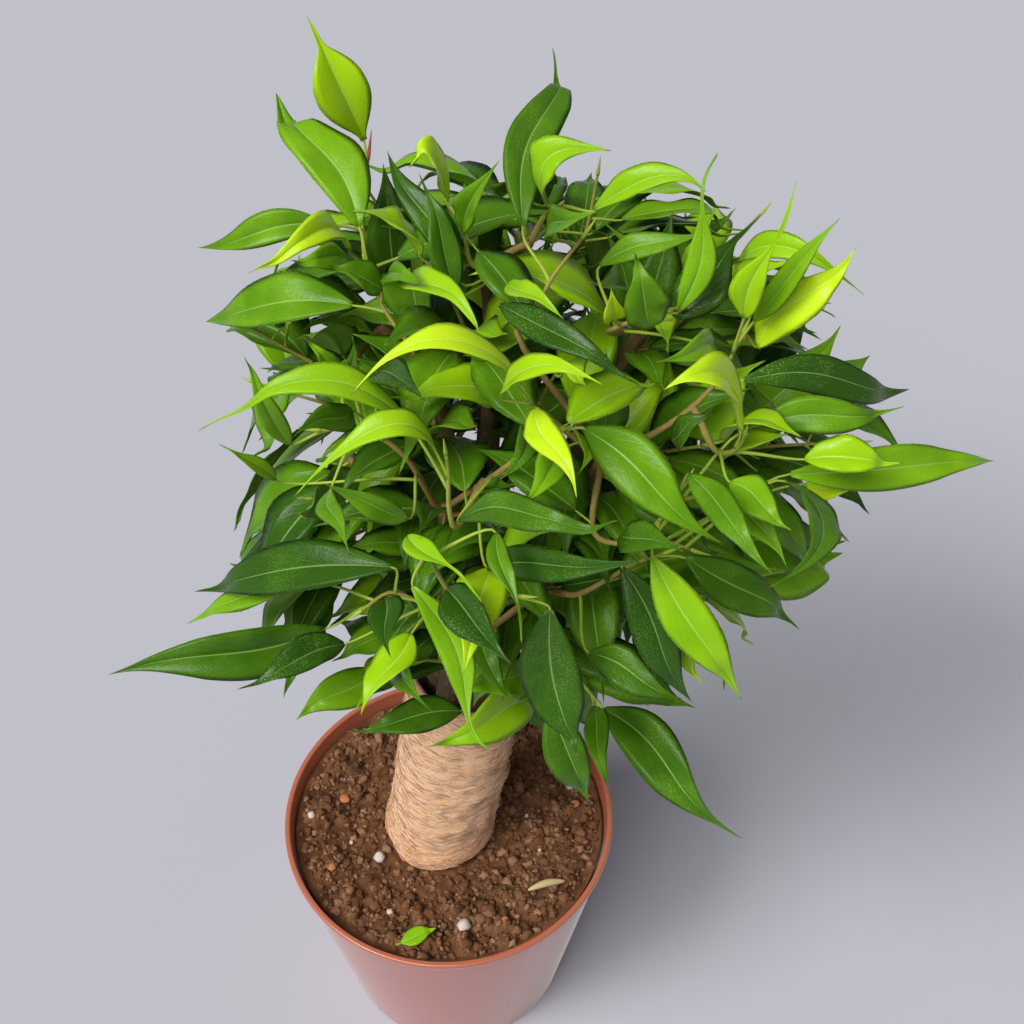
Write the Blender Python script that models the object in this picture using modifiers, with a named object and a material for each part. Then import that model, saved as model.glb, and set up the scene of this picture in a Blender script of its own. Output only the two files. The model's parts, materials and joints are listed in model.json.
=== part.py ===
"""Potted weeping fig: a leafy crown on a jute-wrapped bundle of stems in a plastic nursery pot.

Metres, +Z up. The origin is the middle of the pot's underside, and -Y is the side that the
photograph shows. Leaves and twigs that it shows are measured in its pixels and set back at their
real place by seen_at(); the rest of the crown follows a seeded rule.
"""

import math
import random

import bmesh
import bpy
from mathutils import Vector, noise
from mathutils.bvhtree import BVHTree
from mathutils.geometry import intersect_line_line, interpolate_bezier

# Nursery pot, 12 cm across its rim
POT_HEIGHT = 0.098
RIM_RADIUS = 0.060
RIM_DEPTH = 0.0026
RIM_STEP = 0.0010
RIM_EDGE = 0.0004
BASE_RADIUS = 0.0441
BASE_CHAMFER = (0.0010, 0.0026)
POT_WALL = 0.0010
POT_FLOOR = 0.0016
POT_SIDES = 40
DRAIN_RADIUS = 0.004
DRAIN_CIRCLE = 0.030
DRAIN_COUNT = 4
TOUCH_GAP = 0.0003

# Peat, level with a line a little under the rim
SOIL_TOP = 0.0900
SOIL_LUMP = 0.0022
SOIL_RINGS = 5
FOOT_FLAT = 0.024
FOOT_SLOPE = 0.006
WALL_SLOPE = 0.004

# Jute wrap round the stems, which lean to the right
AXIS_FOOT = Vector((-0.0046, -0.0010, SOIL_TOP))
AXIS_LEAN = Vector((0.140, 0.0, 1.0))
WRAP_TOP = 0.184
WRAP_RADIUS = 0.0176
WRAP_WALL = 0.0024
WRAP_SIDES = 20
WRAP_TURNS = 5
WRAP_RINGS = 8
WRAP_LIP = 0.0010
WRAP_FLARE = 0.0012
WRAP_CREASE = 0.0005
WRAP_TAPER = 0.0008

# Woody stems
STEM_COUNT = 5
STEM_RADIUS = 0.0043
STEM_CIRCLE = 0.0086
STEM_FOOT = 0.045
STEM_FREE = 0.004
STEM_LEAD = 0.030
STEM_ARRIVE = 0.022
BOUGHS_A_STEM = 3
BOUGH_RADIUS = 0.0018
BOUGH_REACH = 0.050
FORK_LEAD = 0.014
FORK_ARRIVE = 0.016
TWIG_RADIUS = 0.0011
TWIG_TAPER = 0.08
ROOT_STEPS = 6
ROOT_APART = 0.0022
TWIG_KNOTS = 5
TWIG_TRIES = 40
TWIG_STRAY = 0.0012
SEAT_RUN = 0.003

# Crown
CROWN_MIDDLE = Vector((0.028, 0.006, 0.283))
CROWN_RADII = Vector((0.128, 0.122, 0.118))
WILD_SPRAYS = 26
WILD_LEAVES = 6
FRONT_LEAVES = 3
LEAF_LENGTH = 0.046
LEAF_SHARE = 0.39
LEAF_THICK = 0.0013
LEAF_FOLD = math.radians(20)
LEAF_SPARE = 0.0004
LEAF_WIDEST = 0.024
LEAST_WIDE = 0.18
MOST_WIDE = 0.48
LEAST_SHOWN = 0.50
LEAF_ROLL = 18.0
LEAF_RISE = 0.10
FACE_MIX = (0.90, 0.35, 0.25)
ARCH_TILT = 0.010
STALK_HALF = 0.0006
BLADE_LEAST_HALF = 0.0009
STALK_RUN = 0.008
SOIL_CLEARANCE = 0.012

# Stations of a blade: share of its length, and share of its half width there
OUTLINE = [(0.0, 0.10), (0.20, 0.80), (0.43, 1.0), (0.69, 0.70), (0.88, 0.18)]
PLAIN_OUTLINE = [(0.0, 0.10), (0.24, 0.88), (0.54, 0.92), (0.85, 0.24)]

# Leaves of the photograph hang further out than their twigs, and slide in such steps to be free
TIP_REACH = 0.022
TWIG_DEPTH = 0.012
SLIDE_STEP = 0.0015
SLIDE_TRIES = 60

# Where the other twigs start and end from the crown's middle, and the size of their leaves: they
# are short and small where they face the eye, so that the measured leaves stay in front
FACING_EYE = 0.3
FRONT_TWIG = (0.046, 0.064, 0.8)
OTHER_TWIG = (0.056, 0.090, 1.0)
FRONT_ROOM = 0.84
LEAF_TRIES = 24

# The photograph's eye: where it stood, how far it looks down, and its focus in pixels
EYE = Vector((0.0231, -0.2739, 0.5464))
EYE_PITCH = math.radians(46.5)
EYE_FOCUS = 1400.0
PICTURE_MIDDLE = 512.0

# Each spray that the photograph shows: its twig as pixels, how far from the crown's middle it
# runs, how much deeper than that it lies, and its leaves as (blade's foot, tip, width in pixels[,
# pixel that the blade arches through[, how far the arch tilts to the eye]]).
SEEN_SPRAYS = {
    "spray_top_left": dict(
        twig=[(411, 345), (389, 318), (370, 276)],
        reach=0.070,
        young=False,
        leaves=[
            ((382, 289), (325, 264), 30),
            ((352, 305), (206, 322), 48),
            ((352, 262), (290, 260), 26),
            ((388, 277), (424, 284), 24),
        ],
    ),
    "shoot_top_left": dict(
        twig=[(366, 262), (362, 220), (368, 160)],
        reach=0.080,
        young=True,
        leaves=[
            ((359, 226), (276, 93), 65),
            ((364, 140), (307, 16), 60),
            ((350, 250), (246, 275), 30, (318, 231)),
            ((326, 224), (197, 248), 32),
        ],
    ),
    "spray_top": dict(
        twig=[(467, 310), (466, 284)],
        reach=0.070,
        young=False,
        leaves=[
            ((460, 282), (387, 150), 34),
            ((455, 292), (418, 172), 32),
            ((413, 272), (480, 335), 35),
        ],
    ),
    "shoot_top": dict(
        twig=[(472, 268), (468, 240), (450, 206)],
        reach=0.080,
        young=True,
        leaves=[
            ((448, 203), (409, 168), 30, (432, 152)),
            ((462, 232), (500, 160), 26),
        ],
    ),
    "spray_tall": dict(
        twig=[(477, 320), (493, 288), (508, 259), (536, 222)],
        reach=0.078,
        young=False,
        leaves=[
            ((523, 226), (552, 47), 43),
            ((500, 305), (645, 389), 26),
            ((508, 283), (564, 320), 22),
            ((548, 238), (598, 211), 26),
        ],
    ),
    "shoot_tall": dict(
        twig=[(546, 214), (560, 205)],
        reach=0.082,
        young=True,
        leaves=[
            ((546, 205), (612, 151), 45, (548, 158)),
            ((594, 210), (707, 192), 28, (650, 178)),
        ],
    ),
    "spray_upper_right": dict(
        twig=[(600, 345), (640, 330), (668, 322)],
        reach=0.078,
        young=False,
        leaves=[
            ((600, 265), (713, 229), 26),
            ((675, 318), (761, 216), 50),
            ((678, 312), (718, 152), 38, (703, 223), 0.030),
            ((650, 328), (634, 250), 46),
            ((611, 320), (611, 288), 22),
            ((714, 345), (655, 362), 30),
        ],
    ),
    "spray_far_right": dict(
        twig=[(690, 410), (722, 372), (742, 335)],
        reach=0.086,
        young=False,
        leaves=[
            ((744, 380), (910, 389), 34),
            ((754, 321), (840, 218), 25),
            ((744, 318), (796, 181), 34),
            ((672, 440), (712, 414), 28),
        ],
    ),
    "shoot_far_right": dict(
        twig=[(744, 322), (740, 285)],
        reach=0.088,
        young=True,
        leaves=[
            ((737, 262), (866, 297), 28, (790, 248), 0.040),
            ((757, 347), (857, 246), 45),
        ],
    ),
    "spray_right": dict(
        twig=[(690, 462), (741, 458), (785, 470)],
        reach=0.086,
        young=False,
        leaves=[
            ((791, 474), (994, 461), 43),
            ((786, 480), (768, 588), 38, (824, 528), 0.040),
            ((806, 484), (872, 490), 26),
            ((760, 424), (905, 406), 38),
        ],
    ),
    "shoot_right": dict(
        twig=[(716, 455), (736, 446), (742, 436)],
        reach=0.094,
        young=True,
        leaves=[
            ((742, 433), (662, 391), 35, (715, 372)),
            ((805, 459), (903, 463), 39),
            ((730, 482), (793, 531), 42),
        ],
    ),
    "spray_middle": dict(
        twig=[(520, 470), (560, 440), (580, 430)],
        reach=0.082,
        young=False,
        leaves=[
            ((585, 429), (725, 545), 58),
            ((487, 568), (650, 558), 32),
            ((458, 521), (621, 520), 33),
            ((541, 424), (499, 480), 28),
            ((567, 452), (523, 504), 36),
            ((587, 438), (577, 476), 24),
        ],
    ),
    "shoot_middle": dict(
        twig=[(545, 440), (538, 415), (528, 400)],
        reach=0.090,
        young=True,
        leaves=[
            ((535, 407), (577, 500), 35),
            ((521, 382), (349, 397), 32, (448, 339)),
            ((500, 398), (606, 387), 28, (535, 366)),
        ],
    ),
    "shoot_left": dict(
        twig=[(452, 530), (449, 480), (446, 455)],
        reach=0.086,
        young=True,
        leaves=[
            ((436, 449), (291, 500), 32, (381, 427)),
            ((413, 429), (197, 432), 32, (314, 380)),
        ],
    ),
    "spray_left": dict(
        twig=[(400, 450), (360, 432), (322, 430)],
        reach=0.078,
        young=False,
        leaves=[
            ((290, 445), (243, 354), 24),
            ((340, 380), (303, 337), 24),
            ((408, 519), (325, 484), 26),
            ((330, 489), (349, 554), 24),
            ((352, 388), (352, 336), 24),
            ((378, 374), (430, 405), 36),
            ((352, 410), (293, 437), 34),
            ((276, 480), (218, 443), 16),
        ],
    ),
    "spray_low_left": dict(
        twig=[(440, 610), (400, 590), (362, 610)],
        reach=0.078,
        deeper=0.010,
        young=False,
        leaves=[
            ((325, 629), (107, 675), 50),
            ((344, 644), (236, 690), 36),
            ((391, 567), (194, 592), 50),
            ((301, 582), (187, 624), 24),
        ],
    ),
    "spray_front": dict(
        twig=[(470, 640), (490, 600), (520, 596)],
        reach=0.084,
        young=False,
        leaves=[
            ((550, 610), (577, 757), 61, (558, 700)),
            ((447, 589), (512, 665), 45),
            ((385, 598), (391, 658), 36),
        ],
    ),
    "shoot_front": dict(
        twig=[(455, 600), (436, 570), (425, 550)],
        reach=0.092,
        young=True,
        leaves=[
            ((413, 587), (494, 751), 35, (465, 690)),
            ((496, 532), (522, 644), 24),
            ((407, 536), (483, 604), 26),
        ],
    ),
    "spray_foot_left": dict(
        twig=[(480, 660), (430, 660), (400, 655)],
        reach=0.070,
        deeper=0.030,
        young=False,
        leaves=[
            ((533, 698), (427, 747), 50),
            ((461, 711), (345, 732), 36),
            ((376, 669), (296, 720), 40),
            ((393, 631), (331, 662), 30),
            ((400, 668), (432, 712), 26),
            ((436, 634), (389, 672), 30),
        ],
    ),
    "spray_low_right": dict(
        twig=[(570, 600), (610, 575), (650, 560)],
        reach=0.078,
        young=False,
        leaves=[
            ((622, 568), (692, 702), 45),
            ((686, 558), (800, 630), 45),
            ((589, 653), (683, 699), 40),
            ((620, 536), (684, 552), 38),
        ],
    ),
    "shoot_low_right": dict(
        twig=[(560, 650), (580, 680), (596, 700)],
        reach=0.078,
        deeper=0.018,
        young=True,
        leaves=[
            ((604, 709), (743, 839), 52),
            ((550, 706), (589, 803), 42),
            ((594, 706), (609, 790), 26),
        ],
    ),
    "shoot_right_of_middle": dict(
        twig=[(640, 545), (660, 520), (682, 488)],
        reach=0.088,
        young=True,
        leaves=[
            ((653, 558), (742, 701), 48),
            ((689, 474), (774, 576), 34),
            ((738, 498), (787, 568), 30),
        ],
    ),
}

# Round the foliage as the photograph shows it, within which the other leaves stay
CROWN_OUTLINE = [
    (200, 640), (222, 540), (235, 450), (222, 380), (215, 300), (300, 235), (345, 160),
    (400, 170), (480, 165), (520, 175), (600, 160), (700, 185), (790, 215), (850, 280),
    (880, 380), (905, 450), (860, 540), (790, 620), (735, 695), (660, 705), (625, 740),
    (600, 800), (560, 740), (470, 722), (380, 722), (290, 705),
]

# Bare soil shows these: a fallen piece of leaf, a straw, and grains of perlite
FALLEN_LEAF = ((397, 948), (437, 931))
FALLEN_WIDTH = 0.005
STRAW = ((528, 893), (565, 884))
STRAW_RADII = (0.0007, 0.0005)
PERLITE = [(380, 859), (464, 928), (571, 787), (312, 817), (390, 913)]
PERLITE_RADIUS = 0.0021

UP = Vector((0.0, 0.0, 1.0))
placed = []


def clear_scene():
    for obj in list(bpy.data.objects):
        bpy.data.objects.remove(obj)
    for name in ("potted_weeping_fig", "cutters", "repeats"):
        made = bpy.data.collections.new(name)
        bpy.context.scene.collection.children.link(made)


def finish_of(name, colour, roughness, metallic=0.0):
    material = bpy.data.materials.get(name) or bpy.data.materials.new(name)
    material.use_nodes = True
    shader = material.node_tree.nodes["Principled BSDF"]
    shader.inputs["Base Color"].default_value = (*colour, 1.0)
    shader.inputs["Roughness"].default_value = roughness
    shader.inputs["Metallic"].default_value = metallic
    return material


def add_object(name, data, collection="potted_weeping_fig"):
    obj = bpy.data.objects.new(name, data)
    bpy.data.collections[collection].objects.link(obj)
    return obj


def evaluated_mesh(obj):
    bpy.context.view_layer.update()
    graph = bpy.context.evaluated_depsgraph_get()
    return bpy.data.meshes.new_from_object(obj.evaluated_get(graph))


def bake(obj, weld=False):
    """Swaps the object for a plain mesh object, on request with a curve's caps joined up."""
    name = obj.name
    mesh = evaluated_mesh(obj)
    if weld:
        shape = bmesh.new()
        shape.from_mesh(mesh)
        bmesh.ops.remove_doubles(shape, verts=shape.verts, dist=1e-6)
        shape.to_mesh(mesh)
        shape.free()
    home = obj.users_collection[0].name
    bpy.data.objects.remove(obj)
    return add_object(name, mesh, home)


def join_repeats(obj):
    """Unites the object with all that waits in the repeats collection, which is emptied."""
    repeats = bpy.data.collections["repeats"]
    union = obj.modifiers.new("union", "BOOLEAN")
    union.operation = "UNION"
    union.operand_type = "COLLECTION"
    union.collection = repeats
    for solver in ("MANIFOLD", "EXACT"):
        union.solver = solver
        mesh = evaluated_mesh(obj)
        if closed_body(mesh):
            break
    name = obj.name
    bpy.data.objects.remove(obj)
    for repeat in list(repeats.objects):
        bpy.data.objects.remove(repeat)
    mesh.materials.clear()
    return add_object(name, mesh)


def closed_body(mesh):
    """Drops any loose scrap that a union leaves behind, and says whether the rest is closed."""
    shape = bmesh.new()
    shape.from_mesh(mesh)
    waiting = set(shape.verts)
    bodies = []
    while waiting:
        reached = [waiting.pop()]
        for vertex in reached:
            for edge in vertex.link_edges:
                other = edge.other_vert(vertex)
                if other in waiting:
                    waiting.remove(other)
                    reached.append(other)
        bodies.append(reached)
    bodies.sort(key=len)
    for scrap in bodies[:-1]:
        bmesh.ops.delete(shape, geom=scrap, context="VERTS")
    closed = all(edge.is_manifold for edge in shape.edges)
    shape.to_mesh(mesh)
    shape.free()
    return closed


def turned(name, profile, steps):
    """A profile of (radius, height) points turned about the Z axis."""
    mesh = bpy.data.meshes.new(name)
    points = [(radius, 0.0, height) for radius, height in profile]
    edges = [(i, i + 1) for i in range(len(points) - 1)]
    mesh.from_pydata(points, edges, [])
    obj = add_object(name, mesh)
    screw = obj.modifiers.new("turn", "SCREW")
    screw.steps = steps
    screw.render_steps = steps
    screw.use_merge_vertices = True
    screw.merge_threshold = 1e-5
    return bake(obj)


def tube(name, points, radii, resolution=0, collection="potted_weeping_fig"):
    """A round bar along the points, with a radius at each and closed ends."""
    curve = bpy.data.curves.new(name, "CURVE")
    curve.dimensions = "3D"
    curve.bevel_depth = 1.0
    curve.bevel_resolution = resolution
    curve.use_fill_caps = True
    spline = curve.splines.new("POLY")
    spline.points.add(len(points) - 1)
    for knot, point, radius in zip(spline.points, points, radii):
        knot.co = (*point, 1.0)
        knot.radius = radius
    return bake(add_object(name, curve, collection), weld=True)


def tree_of(mesh):
    points = [vertex.co.copy() for vertex in mesh.vertices]
    faces = [tuple(face.vertices) for face in mesh.polygons]
    low = Vector([min(p[axis] for p in points) for axis in range(3)])
    high = Vector([max(p[axis] for p in points) for axis in range(3)])
    return low, high, BVHTree.FromPolygons(points, faces)


def keep_place(owner, mesh, kind):
    placed.append((owner, kind, *tree_of(mesh)))


def is_clear(owner, mesh):
    """True if the mesh meets nothing placed by others, nor a blade of its own spray."""
    low, high, tree = tree_of(mesh)
    for other, kind, other_low, other_high, other_tree in placed:
        if other == owner and kind != "leaf":
            continue
        if any(low[i] > other_high[i] or high[i] < other_low[i] for i in range(3)):
            continue
        if tree.overlap(other_tree):
            return False
    return True


def crosses_itself(mesh):
    """True if faces of the mesh that share no corner meet, as where a stalk runs through its blade."""
    faces = [tuple(face.vertices) for face in mesh.polygons]
    tree = BVHTree.FromPolygons([vertex.co for vertex in mesh.vertices], faces)
    return any(not set(faces[a]) & set(faces[b]) for a, b in tree.overlap(tree))


def sight_line(pixel):
    """The direction in which the eye sees this pixel of the photograph."""
    ahead = Vector((0.0, math.cos(EYE_PITCH), -math.sin(EYE_PITCH)))
    above = Vector((0.0, math.sin(EYE_PITCH), math.cos(EYE_PITCH)))
    aside = (pixel[0] - PICTURE_MIDDLE) / EYE_FOCUS
    rise = (PICTURE_MIDDLE - pixel[1]) / EYE_FOCUS
    return (ahead + Vector((aside, 0.0, 0.0)) + above * rise).normalized()


def seen_at(pixel, reach, nearer=0.0):
    """The pixel's place on the near side of a ball about the crown's middle, or beside it."""
    line = sight_line(pixel)
    to_middle = CROWN_MIDDLE - EYE
    along = to_middle.dot(line)
    miss = (to_middle - line * along).length
    inside = math.sqrt(max(0.0, reach * reach - miss * miss))
    return EYE + line * (along - inside - nearer)


def picture_of(point):
    """The pixel at which the eye sees a point."""
    part = point - EYE
    depth = part.y * math.cos(EYE_PITCH) - part.z * math.sin(EYE_PITCH)
    rise = part.y * math.sin(EYE_PITCH) + part.z * math.cos(EYE_PITCH)
    scale = EYE_FOCUS / depth
    return PICTURE_MIDDLE + part.x * scale, PICTURE_MIDDLE - rise * scale


def inside_outline(pixel):
    """Counts the outline's edges to the right of the pixel."""
    x, y = pixel
    inside = False
    for (ax, ay), (bx, by) in zip(CROWN_OUTLINE, CROWN_OUTLINE[1:] + CROWN_OUTLINE[:1]):
        if (ay > y) != (by > y) and x < ax + (bx - ax) * (y - ay) / (by - ay):
            inside = not inside
    return inside


def seen_on_level(pixel, height):
    line = sight_line(pixel)
    return EYE + line * ((height - EYE.z) / line.z)


def across(vector, axis):
    """The part of a vector that is square to an axis, at unit length."""
    return (vector - axis * vector.dot(axis)).normalized()


def blade_mesh(name, root, foot, middle, tip, width, face, outline=OUTLINE, spare=0.0):
    """A folded, arched leaf with its stalk: a thin lens in section, and a point at the end."""
    bend = middle * 2.0 - (foot + tip) * 0.5
    side_first = (tip - foot).normalized().cross(face).normalized()
    stalk = (foot - root).normalized()
    stations = [(root, stalk, STALK_HALF)]
    for share, wide in outline:
        point = foot * (1 - share) ** 2 + bend * (2 * share * (1 - share)) + tip * share ** 2
        heading = ((bend - foot) * (1 - share) + (tip - bend) * share).normalized()
        if share == 0.0:
            heading = (heading + stalk * 0.8).normalized()
        stations.append((point, heading, max(wide * width * 0.5, BLADE_LEAST_HALF)))
    points = []
    for number, (point, heading, half) in enumerate(stations):
        side = across(side_first, heading)
        top = side.cross(heading)
        fold = LEAF_FOLD if number > 1 else 0.0
        lift = top * (math.sin(fold) * half)
        out = side * (math.cos(fold) * half + spare)
        thick = top * (LEAF_THICK * 0.5 + spare)
        points += [point - out + lift, point + thick, point + out + lift, point - thick]
    points.append(tip + (tip - bend).normalized() * spare)
    faces = [(2, 1, 0), (3, 2, 0)]
    for ring in range(len(stations) - 1):
        a = ring * 4
        b = a + 4
        for left, mid in ((0, 1), (0, 3), (2, 1), (2, 3)):
            turn = (left, mid) in ((0, 1), (2, 3))
            first = (a + left, b + left, b + mid)
            second = (a + left, b + mid, a + mid)
            faces += [first[::-1], second[::-1]] if turn else [first, second]
    last = (len(stations) - 1) * 4
    end = len(points) - 1
    for corner in range(4):
        faces.append((last + (corner + 1) % 4, end, last + corner))
    mesh = bpy.data.meshes.new(name)
    mesh.from_pydata([tuple(point) for point in points], [], faces)
    return mesh


def try_leaf(owner, root, foot, middle, tip, width, face, outline=OUTLINE):
    """Adds the leaf to the repeats if it touches nothing else and not itself, or says no."""
    if min(foot.z, middle.z, tip.z) < SOIL_TOP + SOIL_CLEARANCE:
        return False
    probe = blade_mesh("probe", root, foot, middle, tip, width, face, outline, LEAF_SPARE)
    free = is_clear(owner, probe)
    bpy.data.meshes.remove(probe)
    if not free:
        return False
    mesh = blade_mesh(f"{owner}_leaf", root, foot, middle, tip, width, face, outline)
    if crosses_itself(mesh):
        bpy.data.meshes.remove(mesh)
        return False
    add_object(mesh.name, mesh, "repeats")
    keep_place(owner, mesh, "leaf")
    return True


def make_pot():
    inner_rim = RIM_RADIUS - RIM_STEP - POT_WALL
    inner_base = BASE_RADIUS - POT_WALL
    profile = [
        (inner_rim, POT_HEIGHT),
        (RIM_RADIUS - RIM_EDGE, POT_HEIGHT),
        (RIM_RADIUS, POT_HEIGHT - RIM_EDGE),
        (RIM_RADIUS, POT_HEIGHT - RIM_DEPTH),
        (RIM_RADIUS - RIM_STEP, POT_HEIGHT - RIM_DEPTH - RIM_EDGE),
        (BASE_RADIUS, BASE_CHAMFER[1]),
        (BASE_RADIUS - BASE_CHAMFER[0], 0.0),
        (0.0, 0.0),
    ]
    inside = [(0.0, POT_FLOOR), (inner_base, POT_FLOOR), (inner_rim, POT_HEIGHT)]
    pot = turned("pot", profile + inside, POT_SIDES)
    holes = pot.modifiers.new("drain", "BOOLEAN")
    holes.operand_type = "COLLECTION"
    holes.collection = bpy.data.collections["cutters"]
    for number in range(DRAIN_COUNT):
        angle = number * math.tau / DRAIN_COUNT
        bpy.ops.mesh.primitive_cylinder_add(vertices=8, radius=DRAIN_RADIUS, depth=6 * POT_FLOOR)
        cutter = bpy.context.active_object
        cutter.name = f"drain_{number}"
        cutter.location = (DRAIN_CIRCLE * math.cos(angle), DRAIN_CIRCLE * math.sin(angle), 0)
        move_to_cutters(cutter)
    pot = bake(pot)
    empty_cutters()
    pot.data.materials.append(finish_of("terracotta_plastic", (0.40, 0.20, 0.17), 0.28))
    pot.data.shade_smooth()
    pot.data.set_sharp_from_angle(angle=math.radians(35))
    keep_place("pot", pot.data, "holder")


def move_to_cutters(cutter):
    for home in list(cutter.users_collection):
        home.objects.unlink(cutter)
    bpy.data.collections["cutters"].objects.link(cutter)
    cutter.hide_render = True
    cutter.display_type = "WIRE"


def empty_cutters():
    for cutter in list(bpy.data.collections["cutters"].objects):
        bpy.data.objects.remove(cutter)


def stem_axis(number, height):
    """The middle of one stem of the bundle at a height, where it runs straight."""
    angle = math.tau * (number + 0.25) / STEM_COUNT
    middle = AXIS_FOOT + AXIS_LEAN * (height - SOIL_TOP)
    return middle + Vector((math.cos(angle), math.sin(angle), 0.0)) * STEM_CIRCLE


def inner_wall(height):
    """Radius of the pot's inside at a height."""
    share = (height - POT_FLOOR) / (POT_HEIGHT - POT_FLOOR)
    low = BASE_RADIUS - POT_WALL
    high = RIM_RADIUS - RIM_STEP - POT_WALL
    return low + (high - low) * share


def soil_height(x, y):
    """Lumps of peat and raised perlite grains, flat where the wrap stands."""
    near_wrap = math.hypot(x - AXIS_FOOT.x, y - AXIS_FOOT.y)
    near_wall = inner_wall(SOIL_TOP) - math.hypot(x, y)
    off_foot = max(0.0, (near_wrap - FOOT_FLAT) / FOOT_SLOPE)
    rough = min(1.0, off_foot, max(0.0, near_wall / WALL_SLOPE))
    height = noise.noise(Vector((x, y, 0.0)) * 130) * SOIL_LUMP
    for pixel in PERLITE:
        grain = seen_on_level(pixel, SOIL_TOP)
        apart = math.hypot(x - grain.x, y - grain.y) / PERLITE_RADIUS
        height += PERLITE_RADIUS * max(0.0, 1.0 - apart * 0.5)
    return SOIL_TOP + height * rough


def make_soil():
    floor = POT_FLOOR + TOUCH_GAP
    edge = inner_wall(SOIL_TOP) - TOUCH_GAP
    profile = [(0.0, SOIL_TOP)]
    profile += [(edge * (ring + 1) / SOIL_RINGS, SOIL_TOP) for ring in range(SOIL_RINGS)]
    profile += [(inner_wall(floor) - TOUCH_GAP, floor), (0.0, floor)]
    soil = turned("soil", profile, POT_SIDES)
    for vertex in soil.data.vertices:
        if vertex.co.z > SOIL_TOP - 1e-5:
            vertex.co.z = soil_height(vertex.co.x, vertex.co.y)
    for number in range(STEM_COUNT):
        ends = [stem_axis(number, STEM_FOOT - TOUCH_GAP), stem_axis(number, SOIL_TOP + 0.01)]
        hole = tube("hole", ends, [STEM_RADIUS + 2 * TOUCH_GAP] * 2, 2, "cutters")
        hole.hide_render = True
        hole.display_type = "WIRE"
    holes = soil.modifiers.new("stem_holes", "BOOLEAN")
    holes.operand_type = "COLLECTION"
    holes.collection = bpy.data.collections["cutters"]
    soil = bake(soil)
    empty_cutters()
    soil.data.materials.append(finish_of("peat", (0.07, 0.045, 0.032), 0.95))
    keep_place("soil", soil.data, "holder")


def wrap_radius(turn, share):
    """Outer radius of the jute at a turn round the stems and a share of its height."""
    band = (share * WRAP_TURNS + turn / math.tau) % 1.0
    lip = WRAP_LIP * (1.0 - band) ** 3
    flare = WRAP_FLARE * max(0.0, 1.0 - share / 0.12)
    crease = WRAP_CREASE * math.sin(3 * turn + 5.0 * share)
    return WRAP_RADIUS - WRAP_TAPER * share + lip + flare + crease


def make_wrap():
    """The sleeve of jute: an open leaning tube of bands, with its thickness inwards."""
    foot = SOIL_TOP + TOUCH_GAP
    shape = bmesh.new()
    rings = []
    for ring in range(WRAP_RINGS + 1):
        share = ring / WRAP_RINGS
        height = foot + (WRAP_TOP - foot) * share
        middle = AXIS_FOOT + AXIS_LEAN * (height - SOIL_TOP)
        row = []
        for side in range(WRAP_SIDES):
            turn = math.tau * side / WRAP_SIDES
            radius = wrap_radius(turn, share)
            row.append(shape.verts.new(middle + Vector((math.cos(turn), math.sin(turn), 0)) * radius))
        rings.append(row)
    for low, high in zip(rings, rings[1:]):
        for side in range(WRAP_SIDES):
            after = (side + 1) % WRAP_SIDES
            shape.faces.new((low[side], low[after], high[after], high[side]))
    mesh = bpy.data.meshes.new("jute_wrap")
    shape.to_mesh(mesh)
    shape.free()
    wrap = add_object("jute_wrap", mesh)
    wall = wrap.modifiers.new("wall", "SOLIDIFY")
    wall.thickness = WRAP_WALL
    wall.offset = -1.0
    wrap = bake(wrap)
    for vertex in wrap.data.vertices:
        vertex.co.z = min(max(vertex.co.z, foot), WRAP_TOP)
    wrap.data.materials.append(finish_of("jute", (0.48, 0.33, 0.19), 0.95))
    keep_place("jute_wrap", wrap.data, "holder")


def crown_direction(number, count, lowest, highest):
    """One of a count of directions spread evenly round the crown, between two heights."""
    rise = lowest + (highest - lowest) * (number + 0.5) / count
    turn = number * math.pi * (3.0 - math.sqrt(5.0))
    level = math.sqrt(1.0 - rise * rise)
    return Vector((math.cos(turn) * level, math.sin(turn) * level, rise))


def curved(start, lead, arrive, end, count):
    return interpolate_bezier(start, start + lead, end - arrive, end, count)


def make_stems():
    """Five stems in the wrap, each forked into boughs."""
    total = STEM_COUNT * BOUGHS_A_STEM
    ways = [crown_direction(i, total, -0.35, 0.95) for i in range(total)]
    ways.sort(key=lambda way: math.atan2(way.y, way.x) % math.tau)
    bark = finish_of("bark", (0.24, 0.16, 0.10), 0.75)
    for number in range(STEM_COUNT):
        mine = ways[number * BOUGHS_A_STEM:(number + 1) * BOUGHS_A_STEM]
        mine.sort(key=lambda way: -way.z)
        mouth = stem_axis(number, WRAP_TOP + STEM_FREE)
        lean = AXIS_LEAN.normalized()
        ends = [CROWN_MIDDLE + way * BOUGH_REACH for way in mine]
        main = curved(mouth, lean * STEM_LEAD, mine[0] * STEM_ARRIVE, ends[0], 7)
        path = [stem_axis(number, STEM_FOOT), *main]
        radii = [STEM_RADIUS] + [
            STEM_RADIUS + (BOUGH_RADIUS - STEM_RADIUS) * k / 6 for k in range(7)
        ]
        name = f"stem_{number + 1}"
        stem = tube(name, path, radii, 1)
        for fork, end in enumerate(ends[1:]):
            start = main[1 + fork]
            way = (end - start).normalized()
            leaving = (way + UP * 0.8) * FORK_LEAD
            arriving = (way + UP * 0.2) * FORK_ARRIVE
            side = curved(start, leaving, arriving, end, 6)
            radii = [BOUGH_RADIUS * (1.15 - 0.07 * k) for k in range(6)]
            tube("bough", side, radii, 0, "repeats")
        stem = join_repeats(stem)
        stem.data.materials.append(bark)
        keep_place(name, stem.data, "wood")


def seat_on(carriers, point):
    """The seat of a twig on the nearest bough or twig, and the way out of it."""
    found = [entry[-1].find_nearest(point) for entry in placed if entry[1] in carriers]
    near, _, _, apart = min(found, key=lambda one: one[3])
    way = (point - near) / apart
    return near + way * TOUCH_GAP, way


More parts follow.
